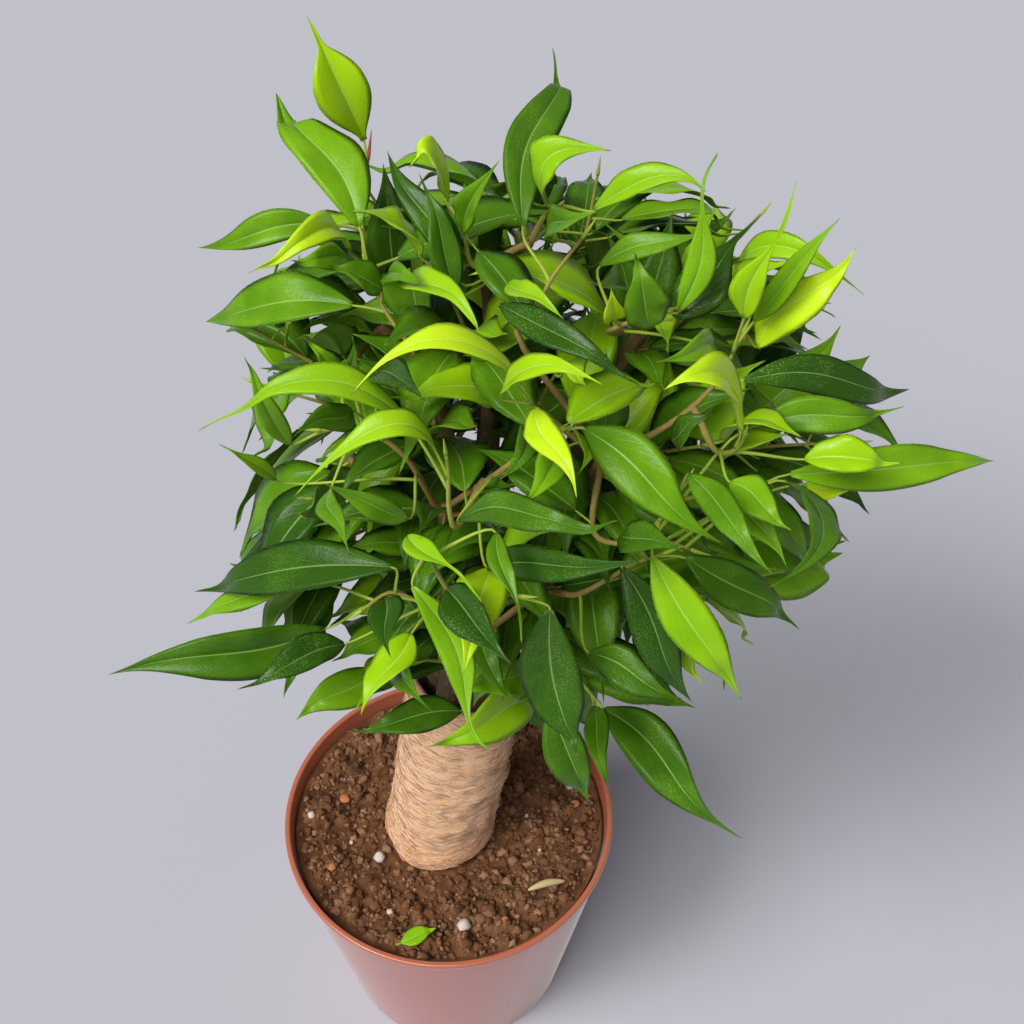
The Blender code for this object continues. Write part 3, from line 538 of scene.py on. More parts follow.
def scattered_points(tree, given):
    inputs = {"Mesh": given["Geometry"], "Density": given["Density"], "Seed": given["Seed"]}
    return node(tree, "GeometryNodeDistributePointsOnFaces", inputs).outputs


def set_shapes(tree, given, result, points, turn, size, shade=None):
    """Sets a shape on each point, and stores its shade, if any, for the material."""
    inputs = {"Collection": given["Shapes"], "Separate Children": True, "Reset Children": True}
    shelf = node(tree, "GeometryNodeCollectionInfo", inputs).outputs[0]
    inputs = {"Points": points, "Instance": shelf, "Pick Instance": True, "Rotation": turn, "Scale": size}
    made = node(tree, "GeometryNodeInstanceOnPoints", inputs).outputs[0]
    if shade:
        inputs = {"Geometry": made, "Name": "shade", "Value": shade}
        kind = dict(data_type="FLOAT", domain="INSTANCE")
        made = node(tree, "GeometryNodeStoreNamedAttribute", inputs, **kind).outputs[0]
    made = node(tree, "GeometryNodeRealizeInstances", {0: made}).outputs[0]
    inputs = {"Geometry": made, "Material": given["Material"]}
    made = node(tree, "GeometryNodeSetMaterial", inputs).outputs[0]
    tree.links.new(made, result["Geometry"])
    return tree


def make_crumb_tree():
    """Scatters crumbs over a surface: most of them small, each turned and shaded by chance."""
    sockets = dict(Density="Float", Smallest="Float", Largest="Float", Seed="Int")
    tree, given, result = new_spread("crumbs", **sockets)
    points = scattered_points(tree, given)["Points"]
    chance = math_of(tree, "POWER", random_of(tree, 0.0, 1.0, 11), 3.0)
    size = ranged(tree, chance, 0.0, 1.0, given["Smallest"], given["Largest"])
    turn = random_of(tree, (0.0, 0.0, 0.0), (math.tau, math.tau, math.tau), 12, "FLOAT_VECTOR")
    return set_shapes(tree, given, result, points, turn, size, random_of(tree, 0.05, 1.0, 13))


def joined(name, objects):
    """Makes one object of several plain ones, with their attributes and materials kept."""
    with bpy.context.temp_override(active_object=objects[0], selected_editable_objects=objects):
        bpy.ops.object.join()
    objects[0].name = name
    objects[0].data.name = name
    return objects[0]


def new_shape():
    """Lists that a piece is gathered in: for each point, and for each face."""
    return dict(points=[], faces=[], spots=[], tone=[], dust=[], stalk=[], under=[], finish=[])


def sweep(shape, points, radii, sides, tones, finish=0):
    """Adds a round limb along the points, closed to a point at both ends."""
    first = len(shape["points"])
    side = None
    for number, (point, radius) in enumerate(zip(points, radii)):
        before = points[max(number - 1, 0)]
        after = points[min(number + 1, len(points) - 1)]
        heading = (after - before).normalized()
        side = side or heading.orthogonal()
        side = (side - heading * side.dot(heading)).normalized()
        other = heading.cross(side)
        for corner in range(sides):
            angle = math.tau * corner / sides
            out = side * math.cos(angle) + other * math.sin(angle)
            shape["points"].append(point + out * radius)
            shape["spots"].append((corner / sides, number / (len(points) - 1)))
        shape["tone"] += [tones[number]] * sides
    start_cap = len(shape["points"])
    last = start_cap - sides
    shape["points"] += [points[0], points[-1]]
    shape["spots"] += [(0.5, 0.0), (0.5, 1.0)]
    shape["tone"] += [tones[0], tones[-1]]
    added = start_cap + 2 - first
    shape["dust"] += [0.0] * added
    shape["stalk"] += [1.0] * added
    faces = []
    for low in range(first, last, sides):
        for corner in range(sides):
            after = (corner + 1) % sides
            faces.append((low + corner, low + after, low + sides + after, low + sides + corner))
    for corner in range(sides):
        after = (corner + 1) % sides
        faces.append((start_cap, first + after, first + corner))
        faces.append((start_cap + 1, last + corner, last + after))
    shape["faces"] += faces
    shape["under"] += [0.0] * len(faces)
    shape["finish"] += [finish] * len(faces)


def fibre_mesh(seed, thickness, wander, stand, bend):
    """One fibre with three sides, which bends away and lifts its far end."""
    draw = random.Random(seed)
    points = []
    for k in range(FIBRE_KNOTS):
        share = k / (FIBRE_KNOTS - 1)
        along = FIBRE_LENGTH * (share - 0.5)
        lift = draw.uniform(-0.0001, 0.00025) + stand * max(0.0, share - 0.35) ** 2
        points.append(Vector((along, draw.uniform(-wander, wander), lift - along * along * bend * 0.5)))
    shape = new_shape()
    radii = [thickness * 0.6] + [thickness] * (FIBRE_KNOTS - 2) + [thickness * 0.35]
    sweep(shape, points, radii, 3, [0.0] * FIBRE_KNOTS)
    mesh = bpy.data.meshes.new(f"fibre_{seed}")
    mesh.from_pydata([tuple(point) for point in shape["points"]], [], shape["faces"])
    mesh.shade_smooth()
    return mesh


def make_fibre_tree():
    """Lays fibres on a surface, along the way round it, each a little askew."""
    sockets = dict(Density="Float", Askew="Float", Shortest="Float", Longest="Float", Seed="Int")
    tree, given, result = new_spread("fibres", **sockets)
    spots = scattered_points(tree, given)
    inputs = {0: UP, 1: spots["Normal"]}
    round_way = node(tree, "ShaderNodeVectorMath", inputs, operation="CROSS_PRODUCT").outputs[0]
    align = "FunctionNodeAlignRotationToVector"
    standing = node(tree, align, {"Vector": spots["Normal"]}, axis="Z").outputs[0]
    inputs = {"Rotation": standing, "Vector": round_way}
    lying = node(tree, align, inputs, axis="X", pivot_axis="Z").outputs[0]
    least = math_of(tree, "MULTIPLY", given["Askew"], -1.0)
    inputs = {"Axis": UP, "Angle": random_of(tree, least, given["Askew"], 21)}
    skew = node(tree, "FunctionNodeAxisAngleToRotation", inputs).outputs[0]
    turn = node(tree, "FunctionNodeRotateRotation", {0: lying, 1: skew}, rotation_space="LOCAL").outputs[0]
    size = random_of(tree, given["Shortest"], given["Longest"], 22)
    shade = random_of(tree, 0.0, 1.0, 23)
    return set_shapes(tree, given, result, spots["Points"], turn, size, shade)


fibre_tree = make_fibre_tree()


def bare_peat(peat, least_off_wall):
    """The peat's open surface, apart from the wrap's foot and a margin along the wall."""
    bed = bmesh.new()
    bed.from_mesh(peat.data)
    covered = []
    for face in bed.faces:
        middle = face.calc_center_median()
        off_wrap = off_axis(middle.x, middle.y) - WRAP_RADIUS
        off_wall = inner_wall(SOIL_TOP) - math.hypot(middle.x, middle.y)
        if middle.z < SOIL_TOP - 0.003 or off_wrap < WRAP_MARGIN or off_wall < least_off_wall:
            covered.append(face)
    bmesh.ops.delete(bed, geom=covered, context="FACES")
    return mesh_from(bed, "peat_surface")


def tree_of_faces(points, faces):
    return BVHTree.FromPolygons([tuple(point) for point in points], [tuple(face) for face in faces])


def make_peat():
    colours = shade_ramp(0.62, 0.5, PEAT_COLOURS)
    sockets = dict(Roughness=0.92, Specular_IOR_Level=0.25)
    finish = blotchy_finish("peat", (240.0, 1900.0), colours, (0.0010, 0.9), **sockets)
    floor = POT_FLOOR + TOUCH_GAP
    edge = inner_wall(SOIL_TOP) - TOUCH_GAP
    profile = [(edge * ring / SOIL_FINE_RINGS, SOIL_TOP) for ring in range(SOIL_FINE_RINGS + 1)]
    profile += [(inner_wall(floor) - TOUCH_GAP, floor), (0.0, floor)]
    peat = turned("peat_bed", profile, SOIL_STEPS)
    for vertex in peat.data.vertices:
        if vertex.co.z > SOIL_TOP - 1e-5:
            vertex.co.z = soil_height(vertex.co.x, vertex.co.y)
    peat.data.materials.append(finish)
    # The peat's colour is painted by height: lighter on its lumps and darker in its hollows, as painted
    # shade
    raised = [v.co.z - soil_level(v.co.x, v.co.y) for v in peat.data.vertices]
    set_attribute(peat.data, "shade", [PEAT_SHADE + part * PAINTED_SHADE_A_METRE for part in raised])
    peat.data.shade_smooth()

    layers = [peat]
    crumb_tree = make_crumb_tree()
    for detail, kind in ((1, SMALL_CRUMBS), (2, LARGE_CRUMBS)):
        surface = bare_peat(peat, CRUMB_MARGIN)
        crumbs = [lump_mesh("crumb", seed, detail, CRUMB_UNEVEN, CRUMB_FLAT) for seed in range(CRUMB_KINDS)]
        layers.append(grown("peat_crumbs", surface, crumb_tree, crumbs, finish, **kind))
    roots = [fibre_mesh(70 + seed, **ROOTLET) for seed in range(ROOTLET_KINDS)]
    surface = bare_peat(peat, ROOTLET_MARGIN)
    layers.append(grown("rootlets", surface, fibre_tree, roots, finish, **ROOTLETS))
    peat = joined("peat_bed", layers)
    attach(peat, "root")
    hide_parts("soil")
    return tree_of_faces([v.co for v in peat.data.vertices], [f.vertices for f in peat.data.polygons])


def on_peat(x, y):
    """The height of the peat and its crumbs at a place."""
    return peat_tree.ray_cast(Vector((x, y, POT_HEIGHT + 0.02)), -UP)[0].z


def scattered(name, finish, places):
    """Loose grains, each given as (place, size, flatness, seed)."""
    grains = []
    for place, size, flat, seed in places:
        mesh = lump_mesh(name, seed, 2, GRAIN_UNEVEN, flat)
        turn = Matrix.Rotation(seed * 1.7, 4, "Z")
        mesh.transform(Matrix.Translation(place) @ turn @ Matrix.Scale(size, 4))
        mesh.materials.append(finish)
        grains.append(add_object(name, mesh))
    grains = joined(name, grains)
    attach(grains, "root")


def make_perlite():
    """The photograph's five grains, and a few more strewn by chance."""
    draw = random.Random(31)
    places = []
    for spot, size in zip(perlite_spots, PERLITE.values()):
        width = 2 * PERLITE_RADIUS * size
        height = min(on_peat(spot.x, spot.y) + width * 0.25, POT_HEIGHT)
        places.append(((spot.x, spot.y, height), width, 0.95, len(places) + 1))
    for number in range(STREWN_COUNT):
        angle = draw.uniform(0.0, math.tau)
        out = draw.uniform(*STREWN_OUT)
        width = draw.uniform(*STREWN_WIDTH)
        spot = Vector((out * math.cos(angle), out * math.sin(angle), 0.0))
        spot.z = on_peat(spot.x, spot.y) + width * 0.2
        places.append((spot, width, 0.9, 20 + number))
    colours = two_colours((0.52, 0.41, 0.36), (0.70, 0.60, 0.55))
    sockets = dict(Roughness=0.8, Subsurface_Weight=0.1)
    finish = blotchy_finish("perlite", (500.0, 2600.0), colours, (0.0004, 0.7), **sockets)
    scattered("perlite_grains", finish, places)


def make_chips():
    places = []
    for pixel, size in CHIPS.items():
        spot = seen_on_peat(pixel)
        spot.z = on_peat(spot.x, spot.y) + CHIP_LIFT
        places.append((spot, size, CHIP_FLAT, 50 + len(places)))
    colours = two_colours((0.34, 0.10, 0.03), (0.52, 0.20, 0.07))
    scales = (300.0, 1500.0, (1.0, 3.0, 1.0))
    finish = blotchy_finish("bark_chip", scales, colours, (0.0004, 0.7), Roughness=0.75)
    scattered("bark_chips", finish, places)


peat_tree = make_peat()
make_perlite()
make_chips()

# Stems
# Five young woody stems stand in the peat, held in a leaning bundle, and fork above it into three
# boughs each. Their bark is grey-brown with pale pores.
WRAP_TOP = 0.184
STEM_COUNT = 5
STEM_RADIUS = 0.0043
STEM_CIRCLE = 0.0086
STEM_FOOT = 0.045
STEM_FREE = 0.004
STEM_LEAD = 0.030
STEM_ARRIVE = 0.022
STEM_SIDES = 14
STEM_RINGS = 60
STEM_HIDDEN_RINGS = 24
BOUGHS_A_STEM = 3
BOUGH_HEIGHTS = (-0.35, 0.95)
BOUGH_RADIUS = 0.0018
BOUGH_REACH = 0.050
BOUGH_SIDES = 10
BOUGH_RINGS = 30
FORK_LEAD = 0.014
FORK_ARRIVE = 0.016
CROWN_MIDDLE = Vector((0.028, 0.006, 0.283))
BARK_COLOURS = {
    0.0: (0.130, 0.085, 0.050),
    0.35: (0.330, 0.215, 0.080),
    0.70: (0.350, 0.310, 0.060),
    1.0: (0.330, 0.450, 0.050),
}
limbs = []


def stem_axis(number, height):
    """The middle of one stem of the bundle at a height, where it runs straight."""
    angle = math.tau * (number + 0.25) / STEM_COUNT
    middle = AXIS_FOOT + AXIS_LEAN * (height - SOIL_TOP)
    return middle + Vector((math.cos(angle), math.sin(angle), 0.0)) * STEM_CIRCLE


def crown_direction(number, count, lowest, highest):
    """One of a count of directions spread evenly round the crown, between two heights."""
    rise = lowest + (highest - lowest) * (number + 0.5) / count
    turn = number * math.pi * (3.0 - math.sqrt(5.0))
    level = math.sqrt(1.0 - rise * rise)
    return Vector((math.cos(turn) * level, math.sin(turn) * level, rise))


def curved(start, lead, arrive, end, count):
    return interpolate_bezier(start, start + lead, end - arrive, end, count)


def smooth_path(points, count):
    """Evenly shared points along a curve through the given ones."""
    if len(points) < 3:
        return [points[0].lerp(points[1], k / (count - 1)) for k in range(count)]
    path = []
    ends = [points[0] * 2 - points[1], *points, points[-1] * 2 - points[-2]]
    for k in range(count):
        place = (len(points) - 1) * k / (count - 1)
        i = min(int(place), len(points) - 2)
        t = place - i
        a, b, c, d = ends[i:i + 4]
        square = (2 * a - 5 * b + 4 * c - d) * t ** 2
        cube = (3 * b - a - 3 * c + d) * t ** 3
        path.append(0.5 * (2 * b + (c - a) * t + square + cube))
    return path


def spread(values, count):
    """A list of numbers drawn out to a longer one, with straight steps between."""
    drawn = []
    for k in range(count):
        place = (len(values) - 1) * k / (count - 1)
        i = min(int(place), len(values) - 2)
        drawn.append(values[i] + (values[i + 1] - values[i]) * (place - i))
    return drawn


def mesh_of(name, shape, finishes):
    mesh = bpy.data.meshes.new(name)
    mesh.from_pydata([tuple(point) for point in shape["points"]], [], shape["faces"])
    layer = mesh.uv_layers.new(name="blade")
    for loop, place in zip(mesh.loops, layer.data):
        place.uv = shape["spots"][loop.vertex_index]
    for label in ("tone", "dust", "stalk"):
        set_attribute(mesh, label, shape[label])
    set_attribute(mesh, "under", shape["under"], "FACE")
    for finish in finishes:
        mesh.materials.append(finish)
    mesh.polygons.foreach_set("material_index", shape["finish"])
    mesh.shade_smooth()
    return mesh


def bark_rule(tree, masks):
    """Green-brown on young wood and grey-brown on old, by its tone, with pale pores."""
    colour = ramp_of(tree, stored(tree, "tone"), BARK_COLOURS)
    colour = mixed(tree, masks["Blotch"], colour, (0.66, 0.60, 0.52), "MULTIPLY")
    return mixed(tree, ranged(tree, masks["Grain"], 0.60, 0.68, 0.0, 0.55), colour, (0.42, 0.32, 0.20))


bark_scales = (260.0, 1400.0, (1.0, 1.0, 0.35))
bark_sockets = dict(Roughness=0.72, Specular_IOR_Level=0.3)
bark = blotchy_finish("fig_bark", bark_scales, bark_rule, (0.0007, 0.8), **bark_sockets)


def knobbly(radii, seed, amount):
    """Radii with the small swellings of old leaf scars."""
    swellings = [max(0.0, noise.noise(Vector((k * 0.55, seed, 0.0)))) for k in range(len(radii))]
    return [radius * (1.0 + amount * swelling) for radius, swelling in zip(radii, swellings)]


def add_bough(shape, number, start, end):
    way = (end - start).normalized()
    leaving = (way + UP * 0.8) * FORK_LEAD
    arriving = (way + UP * 0.2) * FORK_ARRIVE
    path = smooth_path(curved(start, leaving, arriving, end, 6), BOUGH_RINGS)
    radii = [BOUGH_RADIUS * (1.15 - 0.35 * k / (BOUGH_RINGS - 1)) for k in range(BOUGH_RINGS)]
    sweep(shape, path, knobbly(radii, number, 0.22), BOUGH_SIDES, spread([0.1, 0.35], BOUGH_RINGS))
    limbs.append(path[4:])


def make_stems():
    total = STEM_COUNT * BOUGHS_A_STEM
    ways = [crown_direction(i, total, *BOUGH_HEIGHTS) for i in range(total)]
    ways.sort(key=lambda way: math.atan2(way.y, way.x) % math.tau)
    for number in range(STEM_COUNT):
        mine = ways[number * BOUGHS_A_STEM:(number + 1) * BOUGHS_A_STEM]
        mine.sort(key=lambda way: -way.z)
        mouth = stem_axis(number, WRAP_TOP + STEM_FREE)
        lean = AXIS_LEAN.normalized()
        ends = [CROWN_MIDDLE + way * BOUGH_REACH for way in mine]
        main = curved(mouth, lean * STEM_LEAD, mine[0] * STEM_ARRIVE, ends[0], 7)
        slim = [STEM_RADIUS + (BOUGH_RADIUS - STEM_RADIUS) * k / 6 for k in range(7)]
        shape = new_shape()
        path = smooth_path([stem_axis(number, STEM_FOOT), *main], STEM_RINGS)
        radii = knobbly(spread([STEM_RADIUS, *slim], STEM_RINGS), number, 0.18)
        sweep(shape, path, radii, STEM_SIDES, spread([0.0, 0.0, 0.1, 0.3], STEM_RINGS))
        limbs.append(path[STEM_HIDDEN_RINGS:])
        for fork, end in enumerate(ends[1:]):
            add_bough(shape, fork + 9, main[1 + fork], end)
        name = f"stem_{number + 1}"
        stem = add_object(f"barked_{name}", mesh_of(f"barked_{name}", shape, [bark]))
        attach(stem, "root")
        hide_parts(name)


make_stems()

# Jute wrap
# A sleeve of loose golden jute is wound round the bundled stems from the peat up to the crown. Its
# fibres run round it, its foot is ragged, and stray fibres stand off it as fuzz.
WRAP_WALL = 0.0024
WRAP_TURNS = 5
WRAP_FINE_SIDES = 96
WRAP_FINE_RINGS = 66
WRAP_LIP = 0.0010
WRAP_FLARE = 0.0012
WRAP_CREASE = 0.0005
WRAP_TAPER = 0.0008
WRAP_PADDING = 0.0004
WRAP_RIGHT_BULGE = 0.0008
WRAP_RAGGED = 0.0022
WRAP_TUCK = 0.0020
TUCK_SHARE = 0.045
FLARE_SHARE = 0.12
ROVING_PITCH = 0.0047
ROVING_DEPTH = 0.00055
KNOT_DEPTH = 0.0006
FIBRE_KINDS = 7
LAID_FIBRE = dict(thickness=0.00014, wander=0.0006, stand=0.0)
FUZZ_FIBRE = dict(thickness=0.00007, wander=0.0012, stand=0.0075)
LAID_FIBRES = dict(Density=275000.0, Askew=math.radians(22.0), Shortest=0.55, Longest=1.30, Seed=3)
FUZZ = dict(Density=105000.0, Askew=math.radians(70.0), Shortest=0.25, Longest=0.70, Seed=8)
JUTE_COLOURS = {
    0.10: (0.400, 0.195, 0.070),
    0.36: (0.620, 0.320, 0.125),
    0.62: (0.790, 0.440, 0.195),
    0.90: (0.930, 0.630, 0.335),
}


def wrap_radius(turn, share):
    """Outer radius of the jute at a turn round the stems and a share of its height."""
    band = (share * WRAP_TURNS + turn / math.tau) % 1.0
    lip = WRAP_LIP * (1.0 - band) ** 3
    flare = WRAP_FLARE * max(0.0, 1.0 - share / FLARE_SHARE)
    crease = WRAP_CREASE * math.sin(3 * turn + 5.0 * share)
    return WRAP_RADIUS - WRAP_TAPER * share + lip + flare + crease


def jute_rule(tree, masks):
    """Golden beige fibre, more orange towards the foot, streaked along the winding."""
    colour = shade_ramp(0.55, 0.55, JUTE_COLOURS)(tree, masks)
    height = parts_of(tree, own_place(tree))[2]
    foot = ranged(tree, height, SOIL_TOP + 0.018, SOIL_TOP + 0.001, 0.0, 0.75)
    return mixed(tree, foot, colour, (1.0, 0.72, 0.46), "MULTIPLY")


def sleeve_point(turn, share):
    """A point of the jute's outside, with its rovings and its ragged, rounded foot."""
    foot = SOIL_TOP + TOUCH_GAP
    ragged = WRAP_RAGGED * max(0.0, noise.noise(Vector((math.cos(turn), math.sin(turn), 0.4)) * 3.1))
    height = foot + ragged * max(0.0, 1.0 - share * 5.0) + (WRAP_TOP - foot) * share
    middle = AXIS_FOOT + AXIS_LEAN * (height - SOIL_TOP)
    out = Vector((math.cos(turn), math.sin(turn), 0.0))
    uneven = noise.noise(Vector((out.x * 1.5, out.y * 1.5, height * 90.0)))
    phase = height / ROVING_PITCH + turn / math.tau + uneven * 0.55
    roving = ROVING_DEPTH * abs(math.sin(math.pi * phase)) ** 0.6
    knots = KNOT_DEPTH * noise.noise(Vector((out.x * 4.0, out.y * 4.0, height * 160.0)))
    tucked = WRAP_TUCK * max(0.0, 1.0 - share / TUCK_SHARE) ** 2
    padded = wrap_radius(turn, share) + WRAP_PADDING + WRAP_RIGHT_BULGE * max(0.0, out.x)
    return middle + out * (padded + roving + knots - tucked)


def make_wrap():
    shape = bmesh.new()
    turns = [math.tau * side / WRAP_FINE_SIDES for side in range(WRAP_FINE_SIDES)]
    rings = []
    for ring in range(WRAP_FINE_RINGS + 1):
        rings.append([shape.verts.new(sleeve_point(turn, ring / WRAP_FINE_RINGS)) for turn in turns])
    for low, high in zip(rings, rings[1:]):
        for side in range(WRAP_FINE_SIDES):
            after = (side + 1) % WRAP_FINE_SIDES
            shape.faces.new((low[side], low[after], high[after], high[side]))
    outside = mesh_from(shape, "jute_outside")
    outside.shade_smooth()
    sleeve = add_object("jute_sleeve", outside.copy())
    wall = sleeve.modifiers.new("wall", "SOLIDIFY")
    wall.thickness = WRAP_WALL
    wall.offset = -1.0
    sleeve = baked(sleeve)
    scales = (130.0, 1500.0, (1.0, 1.0, 3.5))
    sockets = dict(Roughness=0.95, Sheen_Weight=0.7, Sheen_Roughness=0.6, Specular_IOR_Level=0.2)
    finish = blotchy_finish("jute", scales, jute_rule, (0.0007, 0.9), **sockets)
    sleeve.data.materials.append(finish)
    set_attribute(sleeve.data, "shade", [0.35] * len(sleeve.data.vertices))
    bend = 1.0 / WRAP_RADIUS
    lying = [fibre_mesh(seed, **LAID_FIBRE, bend=bend) for seed in range(FIBRE_KINDS)]
    laid = grown("laid_fibres", outside.copy(), fibre_tree, lying, finish, **LAID_FIBRES)
    stray = [fibre_mesh(40 + seed, **FUZZ_FIBRE, bend=bend) for seed in range(FIBRE_KINDS)]
    fuzz = grown("fuzz", outside.copy(), fibre_tree, stray, finish, **FUZZ)
    wrap = joined("jute_sleeve", [sleeve, laid, fuzz])
    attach(wrap, "root")
    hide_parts("jute_wrap")


make_wrap()

# Sprays
# Each spray is a slim twig with small folded leaves on stalks, set at alternate sides. Old leaves
# are dark and dusty, young shoots are lime green, and every blade runs out into a thin drip tip.
CROWN_RADII = Vector((0.128, 0.122, 0.118))
WILD_SPRAYS = 26
WILD_HEIGHTS = (-0.85, 0.96)
WILD_LEAVES = 6
WILD_SLANT = (35, 75)
END_SLANT = (0, 15)
WILD_SIZE = (0.75, 1.15)
WILD_STALK = (0.006, 0.010)
WILD_DROOP = (0.05, 0.35)
WILD_ARCH = (0.06, 0.16)
WIDTH_CHANCE = (0.85, 1.1)
FRONT_LEAVES = 3
LEAF_LENGTH = 0.046
LEAF_SHARE = 0.39
LEAF_FOLD = math.radians(20)
LEAF_WIDEST = 0.024
LEAST_WIDE = 0.18
MOST_WIDE = 0.48
LEAST_SHOWN = 0.50
LEAF_ROLL = 18.0
LEAF_RISE = 0.10
FACE_MIX = (0.90, 0.35, 0.25)
ARCH_TILT = 0.010
STALK_RUN = 0.008
TWIG_RADIUS = 0.0011
TWIG_TAPER = 0.08
ROOT_STEPS = 6
ROOT_APART = 0.0022
TWIG_KNOTS = 5
TWIG_TRIES = 40
TWIG_STRAY = 0.0012
SEAT_RUN = 0.003
TIP_REACH = 0.022
TWIG_DEPTH = 0.012
SLIDE_STEP = 0.0015
SLIDE_TRIES = 60
FACING_EYE = 0.3
FRONT_TWIG = (0.046, 0.064, 0.8)
OTHER_TWIG = (0.056, 0.090, 1.0)
FRONT_ROOM = 0.84
LEAF_TRIES = 24
SAME_TIP = 0.0003

# How lime a leaf is, from dark blue green at 0 to bright lime at 1
TONES = dict(deep=0.0, dark=0.12, dusky=0.24, mid=0.36, fresh=0.50, leafy=0.64, lime=0.80, bright=1.0)


def blade(foot, tip, width, tone, arch=None, **traits):
    """A leaf of the photograph: the pixels of its blade's foot and tip, and its width in pixels.

    It may arch through another pixel, and have traits of its own.
    """
    return dict(foot=foot, tip=tip, width=width, tone=TONES[tone], arch=arch, traits=traits)


def seen_spray(reach, twig, *leaves, deeper=0.0):
    """A spray that the photograph shows.

    It has how far from the crown's middle the twig runs, the twig as pixels, its leaves, and how
    much deeper than that it lies.
    """
    return dict(reach=reach, twig=twig, leaves=leaves, deeper=deeper)


